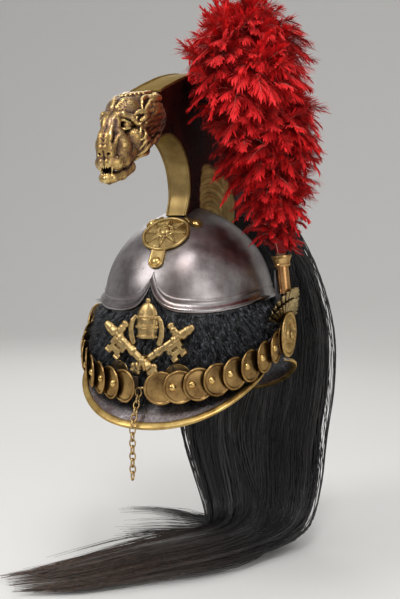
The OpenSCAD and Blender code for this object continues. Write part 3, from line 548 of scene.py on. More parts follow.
needle = bpy.data.meshes.new("fur_needle")
corners = [(math.cos(a), math.sin(a)) for a in (0, 2.0944, 4.1888)]
lower = [(x * 0.5, y * 0.5, 0) for x, y in corners]
upper = [(x * 0.36 + 0.12, y * 0.36, 0.55) for x, y in corners]
needle.from_pydata(lower + upper + [(0.55, 0, 1)], [],
                   [(0, 1, 4, 3), (1, 2, 5, 4), (2, 0, 3, 5), (3, 4, 6), (4, 5, 6), (5, 3, 6)])
needle_piece = bpy.data.objects.new("fur_needle", needle)


def solid_end(tree, geometry, material):
    """Ends a tree with real geometry in its material, because the export drops instances."""
    solid = add(tree, "GeometryNodeRealizeInstances", Geometry=geometry).outputs[0]
    return group_end(tree, add(tree, "GeometryNodeSetMaterial", Geometry=solid, Material=material).outputs[0])


def vectors(tree, way, a, **more):
    """Adds, subtracts or scales vectors."""
    return add(tree, "ShaderNodeVectorMath", _operation=way, in0=a, **more).outputs[0]


def growth(name):
    """Geometry nodes that plant needles on a skin and comb them down and outwards."""
    tree, given = group(name, Needle="Object", Hairs_per_square_metre="Float", Hair_length="Float",
                        Hair_thickness="Float", Comb_down="Float", Seed="Int", Material="Material")
    spots = add(tree, "GeometryNodeDistributePointsOnFaces", Mesh=given["Geometry"],
                Density=given["Hairs per square metre"], Seed=given["Seed"]).outputs
    place = add(tree, "GeometryNodeInputPosition").outputs[0]
    lock = add(tree, "ShaderNodeTexNoise", Vector=place, Scale=95, Detail=1).outputs["Color"]
    drift = vectors(tree, "SUBTRACT", lock, in1=(0.5, 0.5, 0.5))
    drift = vectors(tree, "SCALE", drift, Scale=3.2)
    single = add(tree, "FunctionNodeRandomValue", _data_type="FLOAT_VECTOR",
                 in0=(-0.28, -0.28, -0.28), in1=(0.28, 0.28, 0.28)).outputs[0]
    down = add(tree, "ShaderNodeCombineXYZ", Z=given["Comb down"]).outputs[0]
    lean = vectors(tree, "ADD", vectors(tree, "ADD", drift, in1=single), in1=down)
    way = vectors(tree, "ADD", spots["Normal"], in1=lean)
    stand = add(tree, "FunctionNodeAlignRotationToVector", _axis="Z", Vector=way).outputs[0]
    size = add(tree, "FunctionNodeRandomValue", _data_type="FLOAT", Min=0.65, Max=1.25).outputs[1]
    long = times_plus(tree, size, given["Hair length"], 0)
    scale = add(tree, "ShaderNodeCombineXYZ", X=given["Hair thickness"], Y=given["Hair thickness"], Z=long)
    shape = add(tree, "GeometryNodeObjectInfo", Object=given["Needle"]).outputs["Geometry"]
    hairs = add(tree, "GeometryNodeInstanceOnPoints", Points=spots["Points"], Instance=shape,
                Rotation=stand, Scale=scale.outputs[0])
    return solid_end(tree, hairs.outputs[0], given["Material"])


def grown(name, base, tree, **inputs):
    """Runs a geometry tree on a base mesh, removes the base and returns a plain mesh."""
    made = base.modifiers.new(name, "NODES")
    made.node_group = tree
    for label, value in inputs.items():
        made[tree.interface.items_tree[label.replace("_", " ")].identifier] = value
    bpy.context.view_layer.update()
    result = bpy.data.meshes.new_from_object(base.evaluated_get(bpy.context.evaluated_depsgraph_get()))
    base.modifiers.remove(made)
    bpy.data.objects.remove(base)
    result.name = name
    return placed(name, result)


planting = growth("fur planting")
for side, sign in (("left", 1), ("right", -1)):
    on_side = fur_angles * sign >= -1e-9
    half = skin("pelt_half", np.array([row[on_side] for row in rows[1:-1]]), around=False)
    hairs = grown("fur_hairs_" + side, half, planting, Needle=needle_piece,
                  Hairs_per_square_metre=390000.0, Hair_length=0.0165, Hair_thickness=0.0009,
                  Comb_down=-1.15, Seed=11 + sign, Material=black_fur)
    for f in hairs.data.polygons:
        f.use_smooth = True
    finish(hairs, "helmet", black_fur, "fur", "fur_turban")

# Crest: two embossed brass side plates on the dome, closed in front and on top by strips with a
# raised bead along each edge. The plates are painted almost black with a red tint, as painted
# shade and a painted reflection of the red plume, but for their ribbed field, which shows the brass.
crest_foot, crest_head, crest_rise, crest_t = 10.0, 15.0, 130, 1.0
crest_lean = math.atan2(crest_head - crest_foot, crest_rise)
rib_y, rib_z, rib_r, rib_pitch, rib_w, rib_high, ribs = 28, crown_z - 62, 56.6, 10, 6.6, 1.7, 5


def dome_z(x, y):
    """Height of the dome over x, y."""
    r = np.sqrt((x / skull_a) ** 2 + (y / skull_b) ** 2)
    return rim_z + dome_h * np.sqrt(np.maximum(0, 1 - r ** 1.6))


def crest_w(z):
    """Half the crest's width at height z."""
    return crest_foot + (z - crown_z) * math.tan(crest_lean)


def spline(points, steps):
    """A smooth curve through points, with that many steps between two of them."""
    p, made = np.array(points, float), []
    for i in range(len(p) - 1):
        a, b, c, d = p[max(0, i - 1)], p[i], p[i + 1], p[min(len(p) - 1, i + 2)]
        for t in np.arange(steps) / steps:
            bend = (2 * a - 5 * b + 4 * c - d) * t * t + (3 * b - a - 3 * c + d) * t ** 3
            made.append((2 * b + (c - a) * t + bend) / 2)
    return np.array(made + [p[-1]])


def evenly(path, count):
    """The same path with evenly spaced points."""
    step = np.r_[0, np.cumsum(np.linalg.norm(np.diff(path, axis=0), axis=1))]
    at = np.linspace(0, step[-1], count)
    return np.stack([np.interp(at, step, path[:, k]) for k in range(path.shape[1])], -1)


def ramp_up(x, start, width):
    """Grows from 0 at start to 1 a width further."""
    return np.clip((x - start) / width, 0, 1)


def fill_hollows(piece, gain=2.2, rounds=2, lift=0.0):
    """Writes how hollow the surface is at each vertex to the mark "hollow"."""
    mesh = piece.data
    co, no = np.zeros(len(mesh.vertices) * 3), np.zeros(len(mesh.vertices) * 3)
    mesh.vertices.foreach_get("co", co)
    mesh.vertex_normals.foreach_get("vector", no)
    co, no = co.reshape(-1, 3), no.reshape(-1, 3)
    ends = np.zeros(len(mesh.edges) * 2, int)
    mesh.edges.foreach_get("vertices", ends)
    a, b = ends.reshape(-1, 2).T
    d = co[b] - co[a]
    d /= np.maximum(np.linalg.norm(d, axis=1), 1e-9)[:, None]

    def gathered(at_a, at_b):
        total = np.zeros(len(co))
        np.add.at(total, a, at_a)
        np.add.at(total, b, at_b)
        return total

    count = np.maximum(gathered(1, 1), 1)
    value = gathered((no[a] * d).sum(1), -(no[b] * d).sum(1)) / count
    for _ in range(rounds):
        value = value * 0.4 + gathered(value[b], value[a]) / count * 0.6
    write_mark(piece, "hollow", np.clip(lift + gain * value, 0, 1))
    return piece


crest_brass = aged_brass("crest_brass", (0.33, 0.235, 0.095), (0.21, 0.14, 0.052), (0.05, 0.028, 0.014),
                         0.46, 60, 0.5)
over_crown = np.array((0, crown_z))
inner_path = evenly(spline([(-37, -9.5), (-28, 12), (-34, 40), (-54, 61), (-82, 71), (-108, 68)], 24)
                    + over_crown, 90)
outer_path = evenly(spline([(-112, 108), (-82, 118), (-35, 131), (18, 138), (62, 127), (92, 100)], 24)
                    + over_crown, 120)
bead_line = [(0, 0), (0, 1.2), (0.16, 1.9), (0.55, 2.35), (1.1, 2.5), (1.65, 2.35), (2.1, 1.95),
             (2.5, 1.42), (3.2, 1.36), (5, 1.42)]


def bead_strip(name, path, gap):
    """A brass strip along a path over the crest, with a round bead along both edges."""
    way = np.gradient(path, axis=0)
    way /= np.linalg.norm(way, axis=1)[:, None]
    up = np.stack([-way[:, 1], way[:, 0]], -1)
    w = crest_w(path[:, 1]) + crest_t + 0.6
    section = [(w - back, high) for back, high in bead_line]
    section += [((w - 5) * share, 1.42 + 0.35 * (1 - share ** 2)) for share in (0.6, 0.3, 0, -0.3, -0.6)]
    section += [(back - w, high) for back, high in bead_line[::-1]]
    rows = [np.column_stack([x, path + up * (high + gap)]) for x, high in section]
    return fill_hollows(skin(name, np.swapaxes(np.array(rows), 0, 1)), 3.2, 2)


for name, path, gap in (("crest_front_strip", inner_path, 0.12), ("crest_top_strip", outer_path, 0)):
    finish(bead_strip(name + "_brass", path, gap), "helmet", crest_brass, "brass", name)


def plate_brass(name):
    """The side plates: nearly black with a red-brown lustre, painted shade and a painted reflection of the
    red plume; the ribbed field shows gold brass, darker in its hollows.
    """
    made, tree, shader, place = surface(name)
    cloud = mottle(tree, place, 55, 7, 0.6)
    # dark: painted shade and a painted reflection of the red plume, nearly black with a red tint.
    dark = blend(tree, grade(tree, cloud, 0.35, 0.7), (0.022, 0.005, 0.005), (0.06, 0.012, 0.01))
    gold = blend(tree, grade(tree, cloud, 0.35, 0.65), (0.34, 0.22, 0.09), (0.55, 0.4, 0.17))
    # The gold darkens in the ribs' hollows: patina together with painted shade.
    gold = blend(tree, mark(tree, "hollow"), gold, (0.06, 0.03, 0.016))
    bare = times_plus(tree, mark(tree, "worn"), 1, times_plus(tree, cloud, 0.8, -0.4))
    # The red specular tint is a painted reflection of the red plume as well.
    dress(tree, shader, Base_Color=blend(tree, grade(tree, bare, 0.3, 0.7), dark, gold), Metallic=0.8,
          Specular_IOR_Level=0.2, Specular_Tint=(0.35, 0.12, 0.1, 1),
          Roughness=grade(tree, cloud, 0.3, 0.7, 0.4, 0.58), Normal=bumps(tree, cloud, 0.3, 0.0004))
    return made


side_brass = plate_brass("crest_side_brass")
rear_path = spline([(92, crown_z + 100), (108, crown_z + 60), (112, crown_z), (105, crown_z - 50),
                    (98, rim_z + 18)], 16)
foot_y = np.linspace(-36, 94, 60)
foot_path = np.stack([foot_y, dome_z(crest_w(dome_z(crest_foot, foot_y)), foot_y) + 0.35], -1)
near_side = evenly(np.concatenate([inner_path[::-1], foot_path]), 264)
far_side = evenly(np.concatenate([outer_path, rear_path[1:]]), 264)
share = np.linspace(0, 1, 90)[:, None, None]
spots = near_side[None] * (1 - share) + far_side[None] * share
y, z = spots[..., 0], spots[..., 1]
away = np.hypot(y - rib_y, z - rib_z)
bearing = np.degrees(np.arctan2(z - rib_z, y - rib_y))
ribbed = ramp_up(bearing, 50, 8) * ramp_up(-bearing, -146, 8) * ramp_up(y, -2, 6) * ramp_up(-y, -76, 6)
ribbed *= ramp_up(z, crown_z - 12, 4)
rib = np.zeros_like(y)
for i in range(ribs):
    rib = np.maximum(rib, np.sin(np.pi * ramp_up(away, rib_r + rib_pitch * i, rib_w)) ** 0.8)
border = np.minimum(np.minimum(share[..., 0], 1 - share[..., 0]) * 60, 9)
lip = 0.5 * np.exp(-((border - 3.5) / 1.2) ** 2)
relief = crest_t + rib_high * rib * ribbed + lip
tilt = np.array(Matrix.Translation((crest_foot, 0, crown_z)) @ Matrix.Rotation(crest_lean, 4, "Y")
                @ Matrix.Translation((0, 0, -crown_z)))
for side, sign in (("left", 1), ("right", -1)):
    front, back = (np.stack([x, y, z], -1) @ tilt[:3, :3].T + tilt[:3, 3]
                   for x in (relief, np.zeros_like(y)))
    rows = np.concatenate([front, back[::-1]]) * (sign, 1, 1)
    plate = fill_hollows(skin("crest_plate_" + side, np.swapaxes(rows, 0, 1)), 6, 1)
    at = spots_of(plate)
    from_middle = np.hypot(at[:, 1] - rib_y, at[:, 2] - rib_z)
    # rubbed: the ribbed field, where the plate shows its gold brass instead of the painted shade.
    rubbed = ramp_up(at[:, 1], -4, 8) * ramp_up(from_middle, 50, 6) * ramp_up(-from_middle, -112, 14)
    write_mark(plate, "worn", rubbed)
    finish(plate, "helmet", side_brass, "dark_brass", "crest_%s_side" % side)
keep("crest_lugs", crest_brass)
plain_wood, tree, shader, place = surface("plain_wood")
grain = add(tree, "ShaderNodeMapping", Vector=place, Scale=(1, 1, 0.08)).outputs[0]
grain = grade(tree, mottle(tree, grain, 380, 5, 0.6), 0.35, 0.65)
dress(tree, shader, Base_Color=blend(tree, grain, (0.16, 0.08, 0.035), (0.34, 0.2, 0.1)), Roughness=0.7)
keep("mane_block", plain_wood)



# Lion's head: cast in brass and chased, it ends the crest with its brow, cheeks, open mouth and
# curling mane. It is modelled as one cast skin, built up from rounded masses and cut back.
class Cast:
    """A solid built up from rounded masses on a grid of distances, in millimetres, then skinned."""

    margin = 1.5

    def __init__(self, low, high, step):
        self.step = step
        self.axes = [np.arange(a, b, step, dtype=np.float32) for a, b in zip(low, high)]
        self.field = np.full([len(g) for g in self.axes], 6, np.float32)

    def window(self, low, high):
        """The part of the grid between two corners, and its places along each axis."""
        ends = [np.searchsorted(g, (l, h)) for g, l, h in zip(self.axes, low, high)]
        part = tuple(slice(int(a), int(b)) for a, b in ends)
        near = [g[s] for g, s in zip(self.axes, part)]
        return part, (near[0][:, None, None], near[1][None, :, None], near[2][None, None, :])

    def take(self, part, d, k, cut):
        """Blends a shape's distances d into the grid over k millimetres, or cuts them away."""
        old = self.field[part]
        if cut:
            h = np.clip(0.5 - 0.5 * (old + d) / k, 0, 1)
            self.field[part] = old * (1 - h) - d * h + k * h * (1 - h)
        else:
            h = np.clip(0.5 + 0.5 * (old - d) / k, 0, 1)
            self.field[part] = old * (1 - h) + d * h - k * h * (1 - h)

    def mass(self, points, k=2.0, cut=False, flat=(1, 1, 1)):
        """Adds, or cuts away, a chain of balls (x, y, z, radius), blended over k millimetres."""
        points = points * 2 if len(points) == 1 else points
        f = np.array(flat, np.float32)
        for a, b in zip(points[:-1], points[1:]):
            a, b = np.array(a, np.float32), np.array(b, np.float32)
            low = np.minimum(a[:3] - a[3] / f, b[:3] - b[3] / f) - k - self.margin
            high = np.maximum(a[:3] + a[3] / f, b[:3] + b[3] / f) + k + self.margin
            part, spots = self.window(low, high)
            v = (b[:3] - a[:3]) * f
            w = [(g - c) * m for g, c, m in zip(spots, a[:3], f)]
            u = np.clip(sum(p * q for p, q in zip(w, v)) / max(float(v @ v), 1e-6), 0, 1)
            away = np.sqrt(sum((p - q * u) ** 2 for p, q in zip(w, v)))
            self.take(part, away - a[3] - (b[3] - a[3]) * u, k, cut)

    def block(self, low, high, k=0.5, cut=False, soft=0.4):
        """Adds, or cuts away, a box with softened edges."""
        low, high = np.array(low, float), np.array(high, float)
        part, spots = self.window(low - k - self.margin, high + k + self.margin)
        q = [np.abs(g - c) - h + soft for g, c, h in zip(spots, (low + high) / 2, (high - low) / 2)]
        outside = np.sqrt(sum(np.maximum(c, 0) ** 2 for c in q))
        inside = np.minimum(np.maximum(np.maximum(q[0], q[1]), q[2]), 0)
        self.take(part, outside + inside - soft, k, cut)

    def skin(self, name, place, both=False, gain=0.62):
        """The finished skin as a mesh at its place, its hollows marked. both adds the mirrored half."""
        f = np.concatenate([self.field[:0:-1], self.field]) if both else self.field
        spread = np.clip(f, -3, 3)
        for axis in (0, 1, 2):
            for _ in range(3):
                spread = sum(np.roll(spread, by, axis) for by in (2, 1, 0, -1, -2)) / 5
        first_x = -self.axes[0][-1] if both else self.axes[0][0]
        origin = np.array([first_x, self.axes[1][0], self.axes[2][0]])
        spots, quads = net(f, origin, self.step)
        near = np.clip(np.round((spots - origin) / self.step).astype(int), 0, np.array(f.shape) - 1)
        hollow = np.clip(0.34 - gain * spread[tuple(near.T)], 0, 1)
        mesh = bpy.data.meshes.new(name)
        mesh.from_pydata((through(place, spots) * 0.001).tolist(), [], quads.tolist())
        piece = placed(name, mesh)
        write_mark(piece, "hollow", hollow)
        tidy_faces(piece, crease=180)
        return piece


def net(field, origin, step):
    """Vertices and quads of the field's zero surface, one vertex in each cell that it crosses."""
    s = field < 0
    corners = [(i, j, k) for i in (0, 1) for j in (0, 1) for k in (0, 1)]
    at_corner = [tuple(slice(c, n - 1 + c) for c, n in zip(corner, s.shape)) for corner in corners]
    count = sum(s[at].astype(np.int8) for at in at_corner)
    cells = np.argwhere((count > 0) & (count < 8))
    number = np.full(count.shape, -1, np.int64)
    number[tuple(cells.T)] = np.arange(len(cells))
    spot, hits = np.zeros((len(cells), 3)), np.zeros(len(cells))
    for a in corners:
        for b in corners:
            if sum(b) - sum(a) != 1 or any(q < p for p, q in zip(a, b)):
                continue
            fa, fb = field[tuple((cells + a).T)], field[tuple((cells + b).T)]
            on = (fa < 0) != (fb < 0)
            t = np.where(on, fa / np.where(on, fa - fb, 1), 0)
            spot += np.where(on[:, None], np.array(a) + t[:, None] * (np.array(b) - a), 0)
            hits += on
    spot = (cells + spot / hits[:, None]) * step + origin
    quads = []
    for axis in range(3):
        p, q = (axis + 1) % 3, (axis + 2) % 3
        change = np.argwhere(np.diff(s, axis=axis))
        inner = [(change[:, k] > 0) & (change[:, k] < count.shape[k]) for k in (p, q)]
        change = change[inner[0] & inner[1]]
        up, over = np.eye(3, dtype=int)[p], np.eye(3, dtype=int)[q]
        four = np.stack([number[tuple((change - by).T)] for by in (up * 0, up, up + over, over)], -1)
        turned = s[tuple(change.T)]
        quads.append(np.where(turned[:, None], four, four[:, ::-1]))
    return spot, np.concatenate(quads)


def through(place, points):
    """Points carried from a piece's own frame to the helmet's, in millimetres."""
    m = np.array(place)
    return np.asarray(points) @ m[:3, :3].T + m[:3, 3]


lion_low, lion_high, lion_step = (0, -208, 199), (31, -93, 301), 0.62
lion = Cast(lion_low, lion_high, lion_step)
mass = lion.mass
mass([(3, -98, 268, 11), (4, -112, 267, 17), (4, -132, 268, 19), (4, -150, 264, 18)], 6)
mass([(0, -106, 260, 13), (2, -132, 252, 17), (1, -160, 240, 16), (2, -178, 229, 11)], 7)
mass([(5, -146, 271, 13), (5, -162, 269, 11), (4, -172, 263, 9)], 5)
mass([(3, -166, 271, 6.4), (3, -184, 257, 6.6), (3, -191.5, 243, 7.2), (2.4, -194, 234, 7.4)], 5)
mass([(3.5, -194, 229, 6)], 2)
mass([(3, -195, 222, 5.2), (7.5, -189, 222, 6.6), (10.5, -179, 225, 6.8), (12, -168, 232, 6)], 2.4)
mass([(9, -184, 246, 5.4), (10.5, -181, 238, 7.4), (9.5, -182, 230, 7.2)], 4)
mass([(14, -162, 246, 9), (13, -152, 240, 10)], 5)
mass([(12.5, -179.5, 255.5, 5)], 2, cut=True)
mass([(9, -190, 259, 1.4), (10, -193, 248, 1.9), (9, -197, 240, 1)], 3.4, cut=True)
mass([(11.8, -176.6, 255.6, 4.3)], 0.5)
mass([(5, -183, 264, 2.6), (10.5, -180, 264.5, 3.2), (16, -172, 262, 3.2), (19, -163, 256, 2.2)], 1.6)
mass([(9, -183, 259, 0.9), (12.5, -181.6, 259.6, 1.2), (16, -176, 257.5, 1)], 0.5)
mass([(9.4, -183, 252.6, 0.9), (12.6, -181.4, 251.6, 1.1), (16, -176, 253, 0.9)], 0.5)
mass([(2.5, -177, 272, 1.8), (5, -170, 277, 2.4), (9, -160, 279, 2)], 2)
mass([(3.7, -201, 228.5, 1.5), (5.4, -199, 229.5, 1.1)], 0.8, cut=True)
mass([(0, -201, 226, 0.9), (0, -201, 218, 1)], 1, cut=True)
for i in range(4):
    start, end = (9 + i, -187 + i * 1.6, 243.5 - 2.6 * i, 0.7), (14 + i * 0.4, -178 + i, 240 - 3.6 * i, 0.4)
    mass([start, end], 0.9, cut=True)
mass([(0, -204, 213.8, 3), (4, -192, 215.2, 3.6), (7, -176, 219.5, 3.2)], 1.2, cut=True)
mass([(0, -199, 213, 3.5), (0, -182, 214.5, 6)], 1.2, cut=True)
mass([(0, -194.5, 207.6, 4), (5.5, -191, 208.6, 4), (9, -180, 212, 4.6), (11, -168, 219, 6)], 2)
mass([(0, -190, 205.6, 3), (0, -181, 208, 3.4)], 2)
mass([(0, -195, 210.8, 1.4), (0, -180, 212.6, 3)], 1, flat=(0.5, 1, 1))
teeth = [(6.3, -194.4, 219.5, 1.7, -6), (9.4, -188.4, 219.5, 1.3, -3.6), (11, -182.6, 221, 1.3, -3.4),
         (5.4, -193.5, 210.5, 1.4, 4.6), (8.5, -185.6, 212.6, 1.1, 3), (1.1, -198.2, 219, 1.2, -2.4),
         (3.4, -197.4, 219, 1.2, -2.4), (1.2, -195.8, 210.6, 1, 2.2), (3.2, -195.4, 210.8, 1, 2.2)]
for x, y, z, r, high in teeth:
    mass([(x, y, z, r), (x * 0.98, y - 0.4, z + high, 0.35)], 0.3)
mass([(16, -136, 280, 5), (19, -128, 285, 3.4), (19.6, -123, 287, 1.8)], 2)
mass([(18.6, -133.5, 283, 2), (20.4, -128, 286, 1)], 1, cut=True)
bare = lion.field.copy()


def flank(y, z):
    """How far out from the middle the cast skin lies at y, z."""
    j, k = (int(np.clip((at - start) / lion_step, 0, last - 1))
            for at, start, last in zip((y, z), lion_low[1:], bare.shape[1:]))
    inner = np.nonzero(bare[:, j, k] < 0)[0]
    return float(inner[-1]) * lion_step if len(inner) else 1.0


def lock(path, thick, curl, k=0.5):
    """One lock of the mane, waving over the skin along y, z points from root to tip."""
    way = evenly(spline(path, 8), 15)
    side = np.gradient(way, axis=0)
    side = np.stack([-side[:, 1], side[:, 0]], -1) / np.linalg.norm(side, axis=1)[:, None]
    u = np.linspace(0, 1, 15)
    way = way + side * (curl * np.sin(u * np.pi * 2.2) * (0.4 + u))[:, None]
    chain = []
    for (y, z), t in zip(way, u):
        swell = 0.55 + 0.6 * math.sin(math.pi * min(1, 0.12 + t)) ** 0.7
        chain.append((flank(y, z) + 0.5 * thick, y, z, thick * swell * (1 - 0.55 * t ** 3)))
    mass(chain, k)


def lock_row(count, thick, curls, k, upper, lower):
    """A row of locks between its upper and its lower lock."""
    for i in range(count):
        a = i / (count - 1)
        path = [(y + (to_y - y) * a, z + (to_z - z) * a) for (y, z), (to_y, to_z) in zip(upper, lower)]
        lock(path, thick, curls[i % len(curls)], k)


lock_row(9, 2.5, (1.5, -1.3, 1.8), 0.8, [(-121, 284), (-136, 284), (-150, 279), (-160, 270)],
         [(-127, 259), (-140, 254), (-153, 246), (-158, 234)])
lock_row(8, 2.2, (-1.3, 1.5), 0.8, [(-117, 283), (-128, 281), (-139, 276)],
         [(-117, 249), (-128, 244), (-139, 238)])
lock_row(7, 2.0, (1.2, -1.4), 0.9, [(-146, 272), (-160, 268), (-171, 262)],
         [(-144, 236), (-154, 230), (-159, 222)])
rng = np.random.default_rng(11)
for i in range(70):
    y, z = -113 - 42 * rng.random(), 236 + 26 * rng.random()
    if z < 229 + (y + 175) * 0.2 + 5:
        continue
    x = flank(y, z)
    mass([(x - 0.3, y, z, 1.7), (x + 0.7, y + 5, z - 2.6 + 2 * rng.random(), 0.6)], 0.4)
for i in range(5):
    mass([(2 + 2.2 * i, -158 + 5 * i, 283 + i, 1.9), (2.6 + 2.6 * i, -143 + 4 * i, 287 + 0.5 * i, 1.6),
          (2.4 + 2.8 * i, -128 + 3 * i, 288, 0.8)], 0.8)
head = lion.skin("cast_lion_head", Matrix.Diagonal((0.9, 1, 1, 1)), both=True, gain=0.5)
x, y, z = spots_of(head).T
write_mark(head, "copper", ramp_up(y, -160, 8) * ramp_up(-z, -272, 8))


def cast_brass(name):
    """Cast brass: gold on what stands out, rubbed and a painted highlight; violet-brown between; black in the
    hollows, patina with painted shade.
    """
    made, tree, shader, place = surface(name)
    cloud = mottle(tree, place, 110, 6, 0.65)
    broad = mottle(tree, place, 40, 3, 0.6)
    # age: the mark "hollow" with noise; low age is the rubbed gold and painted highlight, high age the patina
    # and painted shade.
    age = times_plus(tree, mark(tree, "hollow"), 1, times_plus(tree, cloud, 0.3, -0.15))
    gold = ramp(tree, age, [(0.1, (0.72, 0.53, 0.22)), (0.23, (0.48, 0.3, 0.1)),
                            (0.37, (0.17, 0.1, 0.065)), (0.52, (0.022, 0.012, 0.01))])
    violet = blend(tree, grade(tree, broad, 0.52, 0.66, 0, 0.5), gold, (0.3, 0.2, 0.19))
    red = ramp(tree, age, [(0.1, (0.42, 0.2, 0.08)), (0.26, (0.18, 0.07, 0.03)),
                           (0.42, (0.025, 0.012, 0.009))])
    dress(tree, shader, Base_Color=blend(tree, mark(tree, "copper"), violet, red), Metallic=1,
          Roughness=grade(tree, age, 0.15, 0.55, 0.28, 0.75), Normal=bumps(tree, cloud, 0.35, 0.0004))
    return made


finish(head, "helmet", cast_brass("cast_brass"), "brass", "lion_head")

# Rosette: a dished brass star on the front of the dome, struck from sheet, with a rolled rim,
# eight ridged rays round a ringed boss, and a tongue that one domed stud fixes to the skull.
star_r, dish, roll_r, tongue_len, tongue_half = 25.0, 78.0, 1.8, 15, 8
slope = math.asin((star_r - 3) / dish)
dish_fall = dish * (math.cos(slope) - 1)


def dome_frame(x, y, lift):
    """The frame on the dome over x, y: its +Z along the normal and its +X down the slope."""
    d = 0.5
    east = (dome_z(x - d, y) - dome_z(x + d, y)) / (2 * d)
    north = (dome_z(x, y - d) - dome_z(x, y + d)) / (2 * d)
    tilt = math.acos(1 / math.sqrt(east ** 2 + north ** 2 + 1))
    turn = Matrix.Rotation(math.atan2(north, east), 4, "Z") @ Matrix.Rotation(tilt, 4, "Y")
    return Matrix.Translation((x, y, float(dome_z(x, y)))) @ turn @ Matrix.Translation((0, 0, lift))


def circle(turns, r, z):
    """Points round +Z at a radius and a height."""
    return np.stack([r * np.cos(turns), r * np.sin(turns), z + 0 * turns], -1)


def star_relief(r, a):
    """Height over the dish of rays, ring and boss."""
    k = (a / (np.pi / 4) + 0.5) % 1 - 0.5
    across, along = r * np.sin(k * np.pi / 4), (r - 7) / (star_r - 11)
    half = np.interp(along, [0, 0.32, 1, 1.02], [2.0, 3.5, 0.35, 0])
    u = np.abs(across) / np.maximum(half, 0.01)
    ridge = 1.2 + 0.6 * (1 - np.clip(u, 0, 1)) * (u < 1)
    ray = np.where((along > -0.1) & (along < 1.02), ramp_up(-u, -1.12, 0.2) * ridge, 0)
    ray = ray - np.where((u > 0.28) & (u < 0.82) & (along < 0.9) & (along > 0), 0.45, 0)
    ring_high = 1.5 * np.sqrt(np.maximum(0, 1 - ((r - 8.2) / 1.5) ** 2))
    boss_high = np.where(r < 5.6, 2.6 * np.sqrt(np.maximum(0, 1 - (r / 5.7) ** 2)), 0)
    return np.maximum(np.maximum(ray, ring_high), boss_high)


star_frame = dome_frame(0, -64, 1.85)
star_turn = round_turn(256)
rows = []
for r in np.linspace(0, 21.6, 76):
    z = np.sqrt(dish ** 2 - r ** 2) - dish + 1.4 + star_relief(np.full_like(star_turn, r), star_turn)
    rows.append(circle(star_turn, r, z))
for a in np.radians(np.linspace(150, -90, 15)):
    r = star_r - 1.6 + roll_r * math.cos(a) + 0.25 * np.cos(8 * star_turn)
    rows.append(circle(star_turn, r, dish_fall + 0.9 + roll_r * math.sin(a)))
rows += [circle(star_turn, r, math.sqrt(dish ** 2 - r ** 2) - dish) for r in (22, 14, 7, 0)]
star_brass = aged_brass("star_brass", (0.5, 0.36, 0.15), (0.32, 0.21, 0.08), (0.08, 0.045, 0.02), 0.36, 110)
star = skin("star_rosette", through(star_frame, rows), caps=False)
tongue_frame = star_frame @ Matrix.Translation((star_r - 3, 0, dish_fall)) @ Matrix.Rotation(slope, 4, "Y")
rows = []
tongue_end = tongue_len + tongue_half * np.sin(np.linspace(0.06, 1.5, 18))
for x in np.concatenate([np.linspace(-3, tongue_len, 26), tongue_end]):
    past = x - tongue_len
    if past <= 0:
        half = np.interp(x, [-3, 6, tongue_len], [7.6, 7.9, tongue_half])
        across = np.linspace(-1, 1, 33) * half
        from_edge = half - np.abs(across)
    else:
        across = np.linspace(-1, 1, 33) * math.sqrt(max(0.02, tongue_half ** 2 - past ** 2))
        from_edge = tongue_half - np.hypot(across, past)
    high = 1.25 + 0.7 * np.exp(-((from_edge - 1.1) / 0.8) ** 2)
    high = np.where(from_edge < 0.35, 0.8, high)
    top, under = (np.stack([np.full(33, x), across, z], -1) for z in (high, np.zeros(33)))
    rows.append(np.concatenate([top, under[::-1]]))
tab = skin("star_tongue", through(tongue_frame, rows))
for piece in (star, tab):
    fill_hollows(piece, 6, 1)
finish(joined("star_rosette", [star, tab]), "helmet", star_brass, "brass", "rosette")


def dome_rows(radius, height, skirt=0.0, steps=12, around=40):
    """Rows of a domed head from its top to its seat."""
    ball = (radius ** 2 + height ** 2) / (2 * height)
    turns = round_turn(around)
    rows = [circle(turns, r, height - ball + math.sqrt(ball ** 2 - r ** 2))
            for r in radius * np.sin(np.linspace(0, np.pi / 2, steps))]
    rows.append(rows[-1] - (0, 0, skirt + 0.01))
    rows.append(rows[-1] * (0, 0, 1))
    return np.array(rows)


stud_brass = aged_brass("stud_brass", (0.8, 0.56, 0.22), (0.48, 0.3, 0.1), (0.08, 0.045, 0.02), 0.26, 140)
stud_frame = tongue_frame @ Matrix.Translation((tongue_len, 0, 1.45))
stud = skin("star_stud", through(stud_frame, dome_rows(5, 2.6, 0.4)), caps=False)
finish(fill_hollows(stud), "helmet", stud_brass, "brass", "rosette_stud")
keep("crest_screws", stud_brass)

# Badge: a cast brass crown with three pearled bands over two crossed keys, which a cord ties
# together. Prongs hold them in the pelt, and two plain ringed discs sit on the turban beside them.
crown_r, crown_h, band_half, band_pitch, orb_r = 12.5, 32, 1.9, 32 * 0.27, 2.5
key_tilt, key_bend, grip_x = math.radians(-38), math.radians(9), 40.2
badge_frame = Matrix.Translation((0, -(band_b + 13.5), 34)) @ Matrix.Rotation(math.radians(-5.5), 4, "X")
crown_frame = badge_frame @ Matrix.Translation((0, -0.1, 22)) @ Matrix.Diagonal((1, 0.5, 1.1, 1))
half_turn = np.linspace(-np.pi, 0, 120)
rows = []
for u in np.linspace(0, 0.999, 110):
    r = crown_r * (0.74 + 0.52 * u - 0.35 * u * u) * math.sqrt(1 - u ** 4)
    high = crown_h * u
    swell = 0.45 * np.cos(half_turn * 8) * math.sin(math.pi * min(1, u * 1.1))
    for k in range(3):
        off = abs(high - 1.6 - band_pitch * k)
        if off < band_half:
            core = band_half * math.sqrt(1 - (off / band_half) ** 2) - (0.9 if 1 < off < 1.4 else 0.4)
            swell = core + (0.5 * np.abs(np.sin(half_turn * 9 + k)) if off < 1.1 else 0)
    rows.append(circle(half_turn, r + swell * min(1, r / 4), high))
